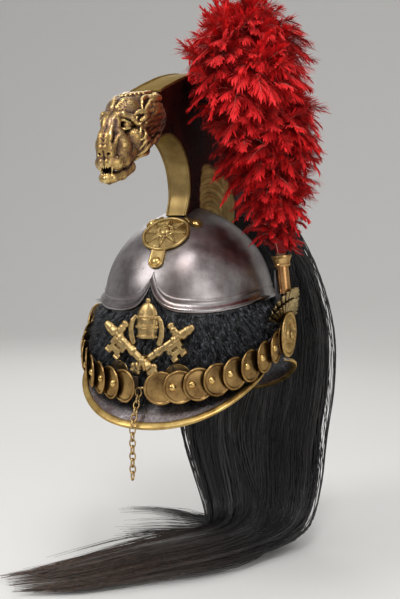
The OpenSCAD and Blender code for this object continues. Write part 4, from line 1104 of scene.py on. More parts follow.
for a in np.linspace(-50, 88, 14):
    r = orb_r * math.cos(math.radians(a)) * (1 if a > -50 else 0.8)
    rows.append(circle(half_turn, r, crown_h + 1.4 + orb_r * math.sin(math.radians(a))))
badge_brass = aged_brass("badge_brass", (0.64, 0.46, 0.2), (0.35, 0.225, 0.095), (0.045, 0.026, 0.014),
                         0.36, 120)
crown = skin("badge_crown_cast", through(crown_frame, rows))
finish(fill_hollows(crown, 3, 2, 0.05), "helmet", badge_brass, "brass", "badge_crown")

key = Cast((-22, -8, -22), (63, 16, 22), 0.5)
key_flat = (1, 1.5, 1)


def bent(x, r):
    """A ball on the shank, which bends to follow the turban."""
    return x * math.cos(key_bend), x * math.sin(key_bend), 0, r


key.mass([(-12, 0, 0, 3.7), (0, 0, 0, 4), bent(30, 3.8), bent(54, 3.5)], 0.6, flat=key_flat)
key.mass([bent(53.5, 4.2), bent(56, 3.4)], 0.8, flat=key_flat)
shank_rings = [(-7.5, 4.9), (-5, 4.5), (15, 5.1), (18, 4.7), (35.6, 5), (45, 5.1), (47.4, 4.7), (51, 4.8)]
for x, r in shank_rings:
    key.mass([bent(x - 0.5, r), bent(x + 0.5, r)], 0.5, flat=(1.6, 1.5, 1))
for x, z in ((-12, -3.3), (-12, 3.3), (-15.2, 0)):
    key.mass([(x, 0, z, 3.7)], 0.7, flat=key_flat)
key.block((22.6, 2, -18.5), (40.4, 7.4, -2), 0.5)
wards = [((29.4, 0, -20), (33.2, 9, -14.4)), ((20, 0, -12.6), (25, 9, -9.4)),
         ((38, 0, -12.6), (42, 9, -9.4)), ((28, 0, -9.4), (34.6, 3.6, -6.6))]
for low_corner, high_corner in wards:
    key.block(low_corner, high_corner, 0.4, cut=True)
for x in (23, 35):
    key.block((x, 1.2, -18.2), (x + 5, 3, -16.6), 0.4)
x, y = grip_x * math.cos(key_bend), grip_x * math.sin(key_bend)
key.mass([(x, y, 0, 3.5), (x, y, 13.6, 3.1)], 0.6, flat=key_flat)
for z, r in ((5.5, 4.3), (8.6, 4.3), (13.8, 4.2)):
    key.mass([(x, y, z - 0.4, r), (x, y, z + 0.4, r)], 0.4, flat=(1, 1.5, 1.6))
for name, depth, flip in (("badge_key_left", 3.02, 1), ("badge_key_right", 7.02, -1)):
    at = badge_frame @ Matrix.Translation((0, -depth, 0)) @ Matrix.Diagonal((flip, 1, 1, 1))
    cast_key = key.skin(name + "_cast", at @ Matrix.Rotation(key_tilt, 4, "Y"))
    finish(cast_key, "helmet", badge_brass, "brass", name)
cord = Cast((-9, -12.5, -9), (9, 1.5, 9), 0.36)
cord_turn = np.linspace(0, full_turn, 29)
for upright, off in ((1, -1.7), (1, 0), (1, 1.7), (0, -1.5), (0, 0.4)):
    across, out = 5.6 * np.cos(cord_turn), -5.1 + (5.3 + 0.8 * upright) * np.sin(cord_turn)
    twist = 0.95 + 0.16 * np.sin(9 * cord_turn)
    cord.mass([(off, o, c, r) if upright else (c, o, off, r) for c, o, r in zip(across, out, twist)], 0.3)
for s in (-1, 1):
    cord.mass([(s * 1.2, -10.6, -2, 1.1), (s * 2.4, -11, -5, 1), (s * 3, -10.6, -7.4, 1.5)], 0.5)
finish(cord.skin("badge_cord", badge_frame), "helmet", badge_brass, "brass", "badge_key_right")
lappet = Cast((9, -6, 12), (22, 2, 47), 0.42)
lappet.mass([(12.4, -2.2, 43, 1.8), (15, -2.4, 39, 2.3), (16.4, -2.2, 32, 2.6), (15.8, -1.8, 25, 2.8),
             (14, -1.8, 18.4, 3.1)], 0.5, flat=(1, 2, 1))
lappet.mass([(14.4, -3.6, 39, 0.5), (16.2, -3.6, 32, 0.5), (14.6, -3.6, 20, 0.5)], 0.5, cut=True)
for x in (12.2, 13.4, 14.6, 15.8):
    lappet.mass([(x, -3.2, 15.4, 0.35), (x + 0.3, -3.3, 18.6, 0.2)], 0.3, cut=True)
sides = [lappet.skin("badge_lappet", badge_frame @ Matrix.Diagonal((s, 1, 1, 1))) for s in (1, -1)]
finish(joined("badge_lappets_cast", sides), "helmet", badge_brass, "brass", "badge_lappets")
keep("badge_prongs", badge_brass, 0.5)
disc_brass = aged_brass("disc_brass", (0.6, 0.42, 0.18), (0.34, 0.21, 0.08), (0.07, 0.04, 0.02), 0.34, 80)
keep("turban_discs", disc_brass)

# Ear bosses: round brass roses struck with rings, a dark hollow and a domed middle. Each turns
# on its post through the turban, and carries the chin strap's tab and last scale.
boss_x, boss_z, boss_r, boss_lobes, lobe_r = band_a + 23.5, 52.0, 24.0, 20, 16
boss_brass = aged_brass("boss_brass", (0.56, 0.38, 0.15), (0.3, 0.185, 0.068),
                        (0.035, 0.018, 0.011), 0.3, 100)
boss_turn = round_turn(200)
boss_face = [(0, 4.4), (3.1, 4.4), (5, 4.35), (7, 4.1), (8.6, 3.3), (9.6, 1.9), (10.2, 1.1),
             (11.6, 0.9), (12.4, 1.3), (13, 2.2), (14, 3), (16, 3.4), (18, 3.0), (18.9, 2.2),
             (19.4, 1.3), (20, 1.2), (20.6, 1.6), (21.2, 2.4), (22, 2.7), (22.9, 2.5), (23.6, 1.9),
             (24, 1), (23.9, 0.2), (23, -0.5), (21, -0.1)]
boss_back = [(12, 0.9), (6.05, 1.2), (6, -6), (3.08, -6), (0, -6)]
for side, sign in (("left", 1), ("right", -1)):
    rows = []
    for r, h in [*evenly(np.array(boss_face, float), 96), *boss_back]:
        ahead, up = r * np.sin(boss_turn), r * np.cos(boss_turn)
        lobes = 0.55 * np.cos(boss_lobes * boss_turn) * math.exp(-((r - lobe_r) / 1.9) ** 2) * (h > 1.5)
        from_oval = (up / 5.4) ** 2 + (ahead / 3.4) ** 2 - 1
        oval = 0.35 * np.exp(-6 * from_oval ** 2) * (r < 9) * (h > 2)
        rows.append(np.stack([sign * (boss_x + h + lobes - oval), -ahead, boss_z + up], -1))
    boss = skin("ear_boss_rose_" + side, rows, caps=False)
    finish(fill_hollows(boss, 5, 1), side + "_boss", boss_brass, "brass", "ear_boss_" + side)
    keep("boss_post_" + side, boss_brass)

# Chin straps: leather bands covered with overlapping brass scales. Each scale is a struck disc
# with a thick rolled rim, and one domed stud rivets it to the leather over the scale before.
strap_a, strap_b, scale_tilt, scale_r = band_a + 21.3, band_b + 25.3, math.radians(11.5), 16.5
strap_low, strap_half, under_scales, scales_each = 10, 10, 3.2, 8
first_scale, scale_pitch, stud_out = math.radians(10.5), math.radians(9.53), 9.5
hinge_y = -boss_r - 1.5
hinge_p = math.acos(-hinge_y / strap_b)


def strap_z(p):
    """Height of the strap's middle at angle p from the front."""
    return strap_low + (boss_z - strap_low) * (1 - np.cos(p)) ** 1.13


def on_strap(p, side):
    """The frame of a scale at angle p: +Z outwards and +X down."""
    heading = math.atan2(-math.cos(p) / strap_b, math.sin(p) / strap_a)
    place = Matrix.Translation((strap_a * math.sin(p), -strap_b * math.cos(p), strap_z(p)))
    place = place @ Matrix.Rotation(heading, 4, "Z") @ Matrix.Rotation(math.radians(90), 4, "Y")
    place = place @ Matrix.Rotation(-scale_tilt, 4, "X")
    if side < 0:
        place = Matrix.Diagonal((-1, 1, 1, 1)) @ place @ Matrix.Diagonal((1, -1, 1, 1))
    return place


scale_turn = round_turn(64)
scale_line = [(0, 1.5), (3, 1.45), (6, 1.3), (9, 1.02), (12, 0.66), (13.1, 0.5), (13.6, 0.62),
              (14, 1.15), (14.5, 1.6), (15.2, 1.8), (15.9, 1.62), (16.4, 1), (scale_r, 0.5),
              (16.3, 0.05), (15.8, -0.12), (14.9, 0), (12, 0.05), (6, 0.4), (0, 0.6)]
rows = [circle(scale_turn, r, h) for r, h in scale_line]
scale_piece = fill_hollows(skin("scale", rows, caps=False), 3.4, 1)
stud_piece = fill_hollows(skin("scale_stud", dome_rows(3.8, 2.7, 0.6, 8, 28), caps=False), 3, 1)


def placing(name):
    """Geometry nodes that put a piece on every point, turned as the point says."""
    tree, given = group(name, Piece="Object", Size="Float", Material="Material")
    spots = add(tree, "GeometryNodeMeshToPoints", Mesh=given["Geometry"]).outputs[0]
    turned = add(tree, "GeometryNodeInputNamedAttribute", _data_type="FLOAT_VECTOR", Name="turned")
    stand = add(tree, "FunctionNodeEulerToRotation", Euler=turned.outputs["Attribute"]).outputs[0]
    shape = add(tree, "GeometryNodeObjectInfo", Object=given["Piece"]).outputs["Geometry"]
    pieces = add(tree, "GeometryNodeInstanceOnPoints", Points=spots, Instance=shape, Rotation=stand,
                 Scale=given["Size"]).outputs[0]
    return solid_end(tree, pieces, given["Material"])


setting_out = placing("setting out")


def laid_out(name, frames, pattern, material):
    """One mesh with the pattern piece at every frame, its points carrying how each is turned."""
    mesh = bpy.data.meshes.new(name)
    mesh.from_pydata([tuple(f.translation * 0.001) for f in frames], [], [])
    turned = np.array([tuple(f.to_euler("XYZ")) for f in frames], np.float32)
    mesh.attributes.new("turned", "FLOAT_VECTOR", "POINT").data.foreach_set("vector", turned.ravel())
    base = placed(name + "_points", mesh)
    return grown(name, base, setting_out, Piece=pattern, Size=1.0, Material=material)


scale_brass = aged_brass("scale_brass", (0.44, 0.28, 0.105), (0.2, 0.112, 0.042),
                         (0.03, 0.015, 0.009), 0.3, 70)
strap_hide = worn_leather("strap_hide", (0.09, 0.05, 0.03), (0.035, 0.02, 0.014))
flat_side = np.linspace(-strap_half + 0.4, strap_half - 0.4, 9)
leather_edge = [(-0.4, strap_half), (-1, strap_half + 0.1), (-1.6, strap_half)]
leather_line = [(0, k) for k in flat_side] + leather_edge
leather_line += [(-2, k) for k in flat_side[::-1]] + [(out, -high) for out, high in leather_edge[::-1]]
for side, sign in (("left", 1), ("right", -1)):
    frames = [on_strap(first_scale + scale_pitch * i, sign) for i in range(scales_each)]
    scales = laid_out("strap_scales_struck_" + side, frames, scale_piece, scale_brass)
    finish(scales, side + "_strap", scale_brass, "dark_brass", "strap_scales_" + side)
    at_stud = Matrix.Translation((0, (stud_out - scale_r) * sign, 1.3))
    stud_frames = [f @ at_stud for f in frames[1:]]
    studs = laid_out("strap_studs_domed_" + side, stud_frames, stud_piece, stud_brass)
    finish(studs, side + "_strap", stud_brass, "brass", "strap_studs_" + side)
    last = Matrix.Translation((sign * (boss_x - 3.2), -8.5, boss_z - 2.5))
    last = last @ Matrix.Rotation(math.radians(90 * sign), 4, "Y")
    rows = through(last, [circle(scale_turn, r, min(h, 1.3)) for r, h in scale_line])
    end_scale = fill_hollows(skin("strap_last_scale_" + side, rows, caps=False), 3, 1)
    finish(end_scale, side + "_boss", scale_brass, "dark_brass", "strap_end_scale_" + side)
    rows = []
    for p in np.linspace(math.radians(3), hinge_p, 60):
        rows.append([(sign * (strap_a - under_scales + out) * math.sin(p),
                      -(strap_b - under_scales + out) * math.cos(p), strap_z(p) + high)
                     for out, high in leather_line])
    band = skin("strap_hide_band_" + side, rows)
    finish(band, side + "_strap", strap_hide, "leather", "strap_leather_" + side)
    keep("strap_tab_" + side, strap_hide)
for pattern in (scale_piece, stud_piece):
    bpy.data.objects.remove(pattern)

# Hook bar, loop and chain: drawn brass wire. The chain hangs from the right strap's loop, and
# its oval links alternate by a quarter turn.
chain_brass = aged_brass("chain_brass", (0.6, 0.42, 0.18), (0.34, 0.22, 0.1), (0.08, 0.05, 0.03), 0.36, 200)
for name in ("strap_hook", "strap_loop", "chain_upper", "chain_lower"):
    keep(name, chain_brass)

# Plume socket and cockade: a coppery brass tube with a flared cup, on a bracket over the left
# ear, and two tiers of stiff brass pleats that fan out behind the boss.
tube_brass = aged_brass("tube_brass", (0.55, 0.3, 0.12), (0.28, 0.11, 0.05), (0.07, 0.03, 0.015), 0.24, 50)
cup_brass = aged_brass("cup_brass", (0.62, 0.4, 0.16), (0.36, 0.2, 0.08), (0.07, 0.035, 0.02), 0.28, 90)
fan_brass = aged_brass("fan_brass", (0.5, 0.39, 0.2), (0.24, 0.17, 0.08), (0.022, 0.014, 0.01), 0.32, 160)
keep("plume_socket", tube_brass)
keep("plume_cup", cup_brass)
fan_x, fan_z, fan_r, fan_lean, fan_sweep = boss_x - 5.8, boss_z + 10, 40, math.radians(18), 15
pleats, pleat_t, pleat_rim = 15, 0.55, 0.35


def fan(name, x0, half, r_in, r_out, fold):
    """A pleated fan over the boss: sharp radial folds that open towards a serrated edge."""
    rows, hollow = [], []
    front = np.repeat([1, 0], 12)
    for a in np.linspace(-half, half, pleats * 8 + 1):
        from_fold = abs((a + half) / (2 * half) * pleats % 1 - 0.5)
        zigzag = 1 - 4 * from_fold
        # hollow: darker in the valleys between the pleats, painted shade.
        hollow.append(np.full(24, min(1, max(0, 0.45 - 0.6 * zigzag))))
        q = math.radians(a)
        inner, outer = r_in(q), r_out(q) * (1 + 0.035 * (1 - 2 * from_fold))
        r = np.concatenate([np.linspace(inner, outer, 12), np.linspace(outer, inner, 12)])
        lift = fold * zigzag * (r / outer) + pleat_t * front + pleat_rim * front * (r > outer - 1.2)
        ahead, up = -r * math.sin(q), r * math.cos(q)
        sweep = math.radians(-fan_sweep * max(0, math.sin(q)))
        x = lift * math.cos(sweep) - ahead * math.sin(sweep)
        y = lift * math.sin(sweep) + ahead * math.cos(sweep)
        rows.append(np.stack([x0 + x * math.cos(fan_lean) + up * math.sin(fan_lean), y - 1,
                              fan_z - x * math.sin(fan_lean) + up * math.cos(fan_lean)], -1))
    piece = skin(name, rows)
    write_mark(piece, "hollow", np.concatenate(hollow))
    return piece


def over_cup(q):
    """The inner fan's lower edge, which clears the plume's cup."""
    return math.sqrt((10 * math.cos(q)) ** 2 + 505) - 10 * math.cos(q) + 1.3


outer_fan = fan("cockade_outer_pleats", fan_x, 84, lambda q: 5.0,
                lambda q: fan_r * (0.7 + 0.3 * math.cos(q)), 1.5)
finish(outer_fan, "helmet", fan_brass, "brass", "cockade_outer")
inner_fan = fan("cockade_inner_pleats", fan_x + 2.8, 75, over_cup,
                lambda q: fan_r * (0.76 - 0.06 * math.cos(q)), 1.25)
finish(inner_fan, "helmet", fan_brass, "brass", "cockade_inner")
keep("plume_stem", plain_wood)

# Plume: dyed ostrich feathers wired round a wooden stem. Each has a pale quill that arches out of
# the cup and ends in a drooping head of soft fronds, with barbs along both sides of every frond.
cup_top = np.array((boss_x - 8, 0, 135.5))
plume_h, feather_heads, golden_turn, fronds, frond_turn = 250.0, 118, 2.39996, 9, 0.698
crest_gap_z, crest_gap_x, plume_top, plume_left, plume_right = crown_z + 148, 24, 390, 158, -12
plume_line = spline([(0, 0, 0, 9, 9), (0, -4, 0.08, 15, 15), (-5, -10, 0.22, 31, 33),
                     (-9, -13, 0.36, 44, 46), (-14, -13, 0.5, 52, 57), (-19, -16, 0.62, 57, 62),
                     (-34, -16, 0.74, 66, 74), (-36, -14, 0.84, 62, 68), (-32, -10, 0.93, 47, 50),
                     (-32, -6, 1, 18, 18)], 12)


def plume_at(h):
    """Centre and half widths of the plume at a share h of its height."""
    x, y, rx, ry = (np.interp(h, plume_line[:, 2], plume_line[:, k]) for k in (0, 1, 3, 4))
    return cup_top + (x, y, plume_h * h), rx, ry


def feather_red(name):
    """Dyed red feathers, deep red inside and lighter towards the barbs' tips; the darkening inside is painted
    shade.
    """
    made, tree, shader, place = surface(name)
    lock = mottle(tree, place, 45, 4, 0.6)
    deep = blend(tree, grade(tree, lock, 0.35, 0.65), (0.2, 0.001, 0.003), (0.42, 0.003, 0.006))
    tone = blend(tree, grade(tree, mark(tree, "fade"), 0.25, 1), deep, (0.8, 0.014, 0.018))
    dress(tree, shader, Base_Color=tone, Roughness=0.62, Sheen_Weight=0.25,
          Sheen_Tint=(1, 0.25, 0.2, 1), Specular_IOR_Level=0.25)
    return made


def ribbons(name, sides):
    """Geometry nodes that sweep each line of a mesh into a ribbon (2 sides) or a fine hair."""
    tree, given = group(name, Half_width="Float", Material="Material")
    lines = add(tree, "GeometryNodeMeshToCurve", Mesh=given["Geometry"]).outputs[0]
    thick = add(tree, "GeometryNodeInputNamedAttribute", _data_type="FLOAT", Name="thick")
    thick = thick.outputs["Attribute"]
    sized = add(tree, "GeometryNodeSetCurveRadius", Curve=lines, Radius=thick).outputs[0]
    if sides == 2:
        across = add(tree, "ShaderNodeCombineXYZ", X=given["Half width"]).outputs[0]
        back = vectors(tree, "SCALE", across, Scale=-1.0)
        section = add(tree, "GeometryNodeCurvePrimitiveLine", Start=back, End=across).outputs[0]
    else:
        section = add(tree, "GeometryNodeCurvePrimitiveCircle", Resolution=sides,
                      Radius=given["Half width"]).outputs[0]
    made = add(tree, "GeometryNodeCurveToMesh", Curve=sized, Profile_Curve=section, Scale=thick)
    shaded = add(tree, "GeometryNodeSetShadeSmooth", Geometry=made.outputs[0], Shade_Smooth=True)
    return solid_end(tree, shaded.outputs[0], given["Material"])


def swept(name, lines, thick, fade, tree, half_width, material, tint=0.5):
    """Sweeps lines (count, points, 3), in millimetres, into one mesh."""
    count, n = lines.shape[:2]
    start = np.arange(count)[:, None] * n + np.arange(n - 1)[None]
    edges = np.stack([start, start + 1], -1).reshape(-1, 2)
    mesh = bpy.data.meshes.new(name)
    mesh.from_pydata((lines.reshape(-1, 3) * 0.001).tolist(), edges.tolist(), [])
    base = placed(name + "_lines", mesh)
    for label, value in (("thick", thick), ("fade", fade), ("tint", tint)):
        write_mark(base, label, np.broadcast_to(value, (count, n)).ravel())
    return grown(name, base, tree, Half_width=half_width, Material=material)


def unit(v):
    """The same direction, one long. Works on rows too."""
    return v / np.maximum(np.linalg.norm(v, axis=-1, keepdims=True), 1e-6)


red = feather_red("feather_red")
# The heart: a deep red sheet inside the feathers, its fade 0, painted shade in the gaps between them.
core_rows = []
core_turn = round_turn(48)
for h in np.linspace(0.0, 0.97, 40):
    c, rx, ry = plume_at(h)
    ruffle = 0.58 + 0.05 * np.sin(7 * core_turn + 20 * h)
    row = c + np.stack([rx * ruffle * np.cos(core_turn), ry * ruffle * np.sin(core_turn), 0 * core_turn], -1)
    if c[2] < crest_gap_z:
        row[:, 0] = np.maximum(row[:, 0], crest_gap_x + 3)
    core_rows.append(row)
core = skin("plume_heart", core_rows)
write_mark(core, "fade", np.zeros(len(core.data.vertices)))
finish(core, "plume", red, "feathers", "plume_feathers")

rng = np.random.default_rng(5)
barb_lines, barb_fade, quill_lines = [], [], []
quill_share = np.linspace(0, 1, 40)[:, None]
barb_share = np.linspace(0, 1, 4)[:, None]
for k in range(feather_heads):
    h = 0.035 + 0.955 * ((k + 0.5) / feather_heads) ** 0.82
    side = k * golden_turn + rng.uniform(-0.2, 0.2)
    centre, rx, ry = plume_at(h)
    out = np.array((rx * math.cos(side), ry * math.sin(side), 0))
    away = unit(out)
    head_at = centre + out * rng.uniform(0.6, 0.8) + (0, 0, rng.uniform(-6, 6))
    if head_at[2] < crest_gap_z + 2 and head_at[0] < 40:
        head_at[0] = rng.uniform(38, 44)
    face = unit(away * (0.75 + 0.35 * h) + (0, 0, 0.8 - 0.35 * h) + rng.normal(0, 0.22, 3))
    e1 = unit(np.cross(face, (0.3, 0.2, 1)))
    e2 = np.cross(face, e1)
    size = min(31, 10 + 0.4 * rx)
    low = plume_at(max(0.02, h * 0.42))[0]
    p = [cup_top + out * 0.05 - (0, 0, 4), low + out * 0.2, centre + out * 0.45 - (0, 0, size * 0.4), head_at]
    t = quill_share
    quill_lines.append(p[0] * (1 - t) ** 3 + 3 * p[1] * t * (1 - t) ** 2 + 3 * p[2] * t * t * (1 - t)
                       + p[3] * t ** 3)
    tone, droop = rng.uniform(-0.12, 0.25), rng.uniform(0.1, 0.55)
    for j in range(fronds):
        turn = j * frond_turn + rng.uniform(-0.25, 0.25)
        cone = math.radians(rng.uniform(18, 82))
        way = face * math.cos(cone) + (e1 * math.cos(turn) + e2 * math.sin(turn)) * math.sin(cone)
        length = size * rng.uniform(0.8, 1.25)
        u = np.linspace(0, 1, max(9, int(length / 1.25)))[:, None]
        sag = np.array((0, 0, -droop * length)) * u ** 2.1
        frond = head_at - face * size * 0.4 + way * length * u + sag
        go = unit(np.gradient(frond, axis=0))
        if j % 3 == 0:
            quill_lines.append(evenly(frond, 40))
        for i in range(1, len(frond)):
            wide = unit(np.cross(go[i], away + face * 0.6))
            v = i / (len(frond) - 1)
            taper = math.sin(math.pi * min(1, 0.22 + 0.66 * v)) ** 0.7
            span = 0.36 * size * taper * rng.uniform(0.75, 1.15) + 1.5
            for sign in (-1, 1):
                lead = 0.45 + 0.8 * v + rng.uniform(-0.15, 0.15)
                aim = wide * sign * math.cos(lead) + go[i] * math.sin(lead)
                curl = (0, 0, -0.55 * droop) + away * rng.uniform(-0.15, 0.3) + rng.normal(0, 0.1, 3)
                barb_lines.append(frond[i] + span * (barb_share * aim + barb_share ** 2 * curl))
                # fade: lighter along each frond and out to the barbs' tips; the deep red near the quills is
                # painted shade.
                barb_fade.append(tone + 0.2 + 0.35 * v + 0.5 * barb_share[:, 0])
barbs, barb_fade = np.array(barb_lines), np.array(barb_fade)
x, y, z = barbs[..., 0], barbs[..., 1], barbs[..., 2]
pressed_in = (z < crest_gap_z) & (x < crest_gap_x)
barbs[..., 0] = np.where(pressed_in, crest_gap_x + (crest_gap_x - x) * 0.08, x)
shown = ((z < plume_top) & (x < plume_left) & (x > plume_right)).all(1)
barbs, barb_fade = barbs[shown], barb_fade[shown]
ribbon = ribbons("ribbon sweeping", 2)
barb_taper = np.array((0.8, 1, 0.85, 0.2))[None]
for k in range(3):
    part = swept("plume_barbs_%d" % (k + 1), barbs[k::3], barb_taper, barb_fade[k::3], ribbon, 0.00095, red)
    finish(part, "plume", red, "feathers", "plume_feathers")
quill_white, tree, shader, place = surface("quill_white")
stain = grade(tree, mottle(tree, place, 80, 3), 0.4, 0.6)
dress(tree, shader, Base_Color=blend(tree, stain, (0.8, 0.35, 0.3), (0.85, 0.6, 0.5)), Roughness=0.4)
quill_taper = np.linspace(1, 0.3, 14)[None]
quills = swept("plume_quills", np.array(quill_lines)[:, ::3], quill_taper, 0.5,
               ribbons("quill sweeping", 4), 0.0004, quill_white)
finish(quills, "plume", quill_white, "feathers", "plume_feathers")

# Mane: a long tail of black horsehair bound to the block inside the crest. It falls behind the
# skull, opens out, and gathers again on the floor, where its browner end trails to the side.
lowest_hair, furthest_back = -214.6, 192
locks, loose_locks, wisps, strand_points = 270, 34, 28, 27
mane_line = spline([(0, 112.6, crown_z - 20, 114, crown_z + 66, 8.8, 0),
                    (3, 113.6, crown_z - 22, 136, crown_z + 54, 18, 0),
                    (10, 114.2, crown_z - 33, 157, crown_z + 24, 34, 0),
                    (22, 116, crown_z - 54, 170, crown_z - 22, 54, 0), (30, 120, 96, 174, 100, 69, 0),
                    (34, 138, 34, 178, 34, 78, 0), (25, 142, -30, 180, -30, 86, 0),
                    (18, 138, -90, 174, -90, 86, 0), (28, 126, -146, 160, -152, 74, 0),
                    (34, 108, -180, 132, -202, 62, -8), (20, 78, -192, 74, -214, 48, -26),
                    (-14, 36, -196, 32, -215, 46, -42), (-56, -8, -199, -12, -215, 42, -46),
                    (-110, -80, -202, -84, -215, 34, -42), (-166, -122, -206, -124, -215, 22, -36)], 12)
black_hair = hair_surface("black_horsehair", (0.003, 0.003, 0.004), (0.06, 0.055, 0.054), 0.3, 0.6, True)


def mane_at(t, c, s):
    """Points of the mane at shares t of its length, c across and s from inner to outer side."""
    at = np.asarray(t) * (len(mane_line) - 1)
    x, iy, iz, oy, oz, half, yaw = (np.interp(at, np.arange(len(mane_line)), column)
                                    for column in mane_line.T)
    yaw = np.radians(yaw)
    return np.stack([x + c * half * np.cos(yaw), (iy + oy) / 2 + c * half * np.sin(yaw) + s * (oy - iy) / 2,
                     (iz + oz) / 2 + s * (oz - iz) / 2], -1)


heart_turn = round_turn(40)
heart_c, heart_s = 0.82 * np.cos(heart_turn), 0.82 * np.sin(heart_turn)
heart = skin("mane_heart", [mane_at(np.full(40, t), heart_c, heart_s) for t in np.linspace(0.0, 0.7, 80)])
finish(heart, "helmet", black_hair, "horsehair", "horsehair_mane")
rng = np.random.default_rng(9)
strands, thick, tail, tint = [], [], [], []
along = np.linspace(0, 1, strand_points)
for lock in range(locks):
    turn = rng.uniform(0, 2 * math.pi)
    loose, wisp = lock < loose_locks, loose_locks <= lock < loose_locks + wisps
    depth = rng.uniform(0.9, 1.08) if loose else rng.uniform(0.72, 0.98)
    ends = [rng.uniform(0.62, 0.8), rng.uniform(0.8, 0.93), rng.uniform(0.93, 0.995)]
    end = rng.choice(ends, p=[0.36, 0.24, 0.4])
    end = rng.uniform(0.86, 0.99) if wisp else end
    wobble = rng.normal(0, 1, (4, 2))
    begin = 0.0 if rng.random() < 0.8 else rng.uniform(0.05, 0.2)
    tone = rng.random() ** 1.6
    spread, opening, limit = (0.08, 0.06, 1.1) if loose else (0.05, 0.026, 1.0)
    flare, flare_power = (1.9, 0.9) if wisp else (1.1, 1.2)
    for k in range(6 if wisp or loose else 16):
        t = np.linspace(begin, end * rng.uniform(0.94, 1.0), strand_points)
        near = rng.normal(0, spread, 2)
        swing = opening * sum(w * np.sin((n + 1) * 3.0 * t + phase * 2)
                              for n, (w, phase) in enumerate(wobble))
        own = rng.normal(0, 0.024) * np.sin(t * rng.uniform(8, 22) + rng.uniform(0, 6))
        close = np.clip(1.15 - 1.6 * np.clip(t - 0.6, 0, 1), 0.5, 1)
        c = (np.cos(turn) * depth + near[0] + swing * 2 + own) * close
        s = (np.sin(turn) * depth + near[1] + swing + own) * close
        kept_in = np.minimum(1, limit / np.hypot(c, s))
        fan_out = 1 + flare * ramp_up(t, 0.7, 0.3) ** flare_power
        strands.append(mane_at(t, c * kept_in * fan_out, s * kept_in))
        thick.append(np.interp(along, [0, 0.06, 0.85, 1], [0.8, 1, 0.8, 0.25]))
        tail.append(t)
        tint.append(tone + rng.uniform(-0.25, 0.25))
stray_ways = (([(70, 136, -190), (12, 158, -207), (-52, 163, -211), (-94, 178, -212),
                (-132, 181, -213), (-172, 168, -213.6)], 70, 7),
              ([(60, 92, -196), (-18, 112, -208), (-81, 101, -212), (-133, 78, -213.4)], 80, 9),
              ([(50, 120, -196), (-30, 138, -209), (-90, 148, -212.6), (-140, 122, -213.4)], 26, 12))
for path, count, spread in stray_ways:
    way = evenly(spline(path, 10), 60)
    for k in range(count):
        u = np.linspace(0, rng.uniform(0.5, 1), strand_points)
        spot = np.stack([np.interp(u, np.linspace(0, 1, 60), column) for column in way.T], -1)
        go = np.gradient(spot, axis=0)
        side = rng.normal(0, 1) * spread * (0.5 + u)
        side = side + 2.5 * np.sin(u * rng.uniform(4, 9) + rng.uniform(0, 6)) * u
        across = np.stack([-go[:, 1], go[:, 0]], -1) / np.hypot(go[:, 0], go[:, 1])[:, None]
        spot[:, :2] += across * side[:, None]
        spot[:, 2] += rng.uniform(0, 7) * (1 - u)
        spot[:, 1] = np.minimum(spot[:, 1], furthest_back)
        strands.append(spot)
        thick.append(np.interp(along, [0, 0.5, 1], [1, 0.7, 0.2]))
        tail.append(0.6 + 0.2 * u)
        tint.append(rng.uniform(0, 0.7))
strands, thick, tail, tint = np.array(strands), np.array(thick), np.array(tail), np.array(tint)[:, None]
strands[..., 2] = np.maximum(strands[..., 2], lowest_hair)
hair = ribbons("hair sweeping", 3)
for k, part in enumerate(np.array_split(np.arange(len(strands)), 4)):
    made = swept("mane_hair_%d" % (k + 1), strands[part], thick[part], tail[part], hair, 0.00055,
                 black_hair, tint[part])
    finish(made, "helmet", black_hair, "horsehair", "horsehair_mane")

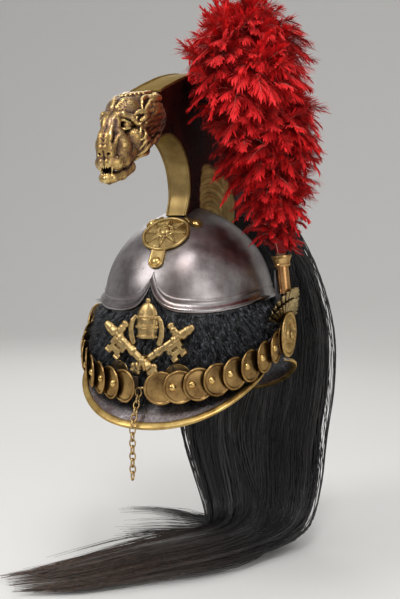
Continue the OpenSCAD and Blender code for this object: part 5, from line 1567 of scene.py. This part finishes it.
# Studio: a plain pale sweep under the mane's tail and behind it, and soft light from broad lamps
# in front, at both sides and above.
floor_z, front_y, bend_y, bend_r, sweep_h, sweep_half = -0.2158, -14, 1.6, 2, 12, 14
sweep_line = [(front_y, 0), (bend_y, 0)]
sweep_line += [(bend_y + bend_r * math.sin(t), bend_r - bend_r * math.cos(t))
               for t in np.linspace(0.05, math.pi / 2, 24)]
sweep_line += [(bend_y + bend_r, sweep_h)]
sweep_rows = [[(x * 1000, y * 1000, (floor_z + z) * 1000) for x in (-sweep_half, sweep_half)]
              for y, z in sweep_line]
floor = skin("studio_sweep", sweep_rows, around=False)
pale, tree, shader, place = surface("pale_floor")
dress(tree, shader, Base_Color=(0.78, 0.77, 0.75, 1), Roughness=0.85)
floor.data.materials.append(pale)
world = bpy.data.worlds.new("studio")
bpy.context.scene.world = world
world.use_nodes = True
tree = world.node_tree
tree.nodes.clear()
rays = tree.nodes.new("ShaderNodeLightPath").outputs
seen = add(tree, "ShaderNodeMath", _operation="MAXIMUM", in0=rays["Is Camera Ray"],
           in1=rays["Is Transmission Ray"]).outputs[0]
way = tree.nodes.new("ShaderNodeTexCoord").outputs["Generated"]
level = add(tree, "ShaderNodeSeparateXYZ", Vector=way).outputs["Z"]
sky = ramp(tree, grade(tree, level, -0.6, 0.9),
           [(0, (0.3, 0.3, 0.3)), (0.45, (0.42, 0.42, 0.43)), (1, (0.85, 0.85, 0.85))])
soft = add(tree, "ShaderNodeBackground", Color=sky, Strength=0.75)
behind = add(tree, "ShaderNodeBackground", Color=(0.86, 0.86, 0.86, 1), Strength=1.0)
mixed = add(tree, "ShaderNodeMixShader", in0=seen, in1=soft.outputs[0], in2=behind.outputs[0])
tree.links.new(mixed.outputs[0], tree.nodes.new("ShaderNodeOutputWorld").inputs["Surface"])
lamps = [("key", (-0.9, -1.1, 1.1), 0.7, 11), ("fill", (1.3, -0.9, 0.5), 0.9, 5),
         ("top", (0.1, 0.2, 1.6), 1.0, 3.5), ("back", (-0.8, 1.2, 0.9), 0.8, 4),
         ("front", (0.42, -0.75, 1.45), 0.35, 8)]
for name, place, size, watts in lamps:
    lamp = bpy.data.lights.new(name, "AREA")
    lamp.size, lamp.energy = size, watts
    made = placed(name, lamp)
    made.location = place
    made.rotation_euler = (Vector((0, 0, 0.09)) - made.location).to_track_quat("-Z", "Y").to_euler()
bpy.context.scene.view_settings.view_transform = "Standard"
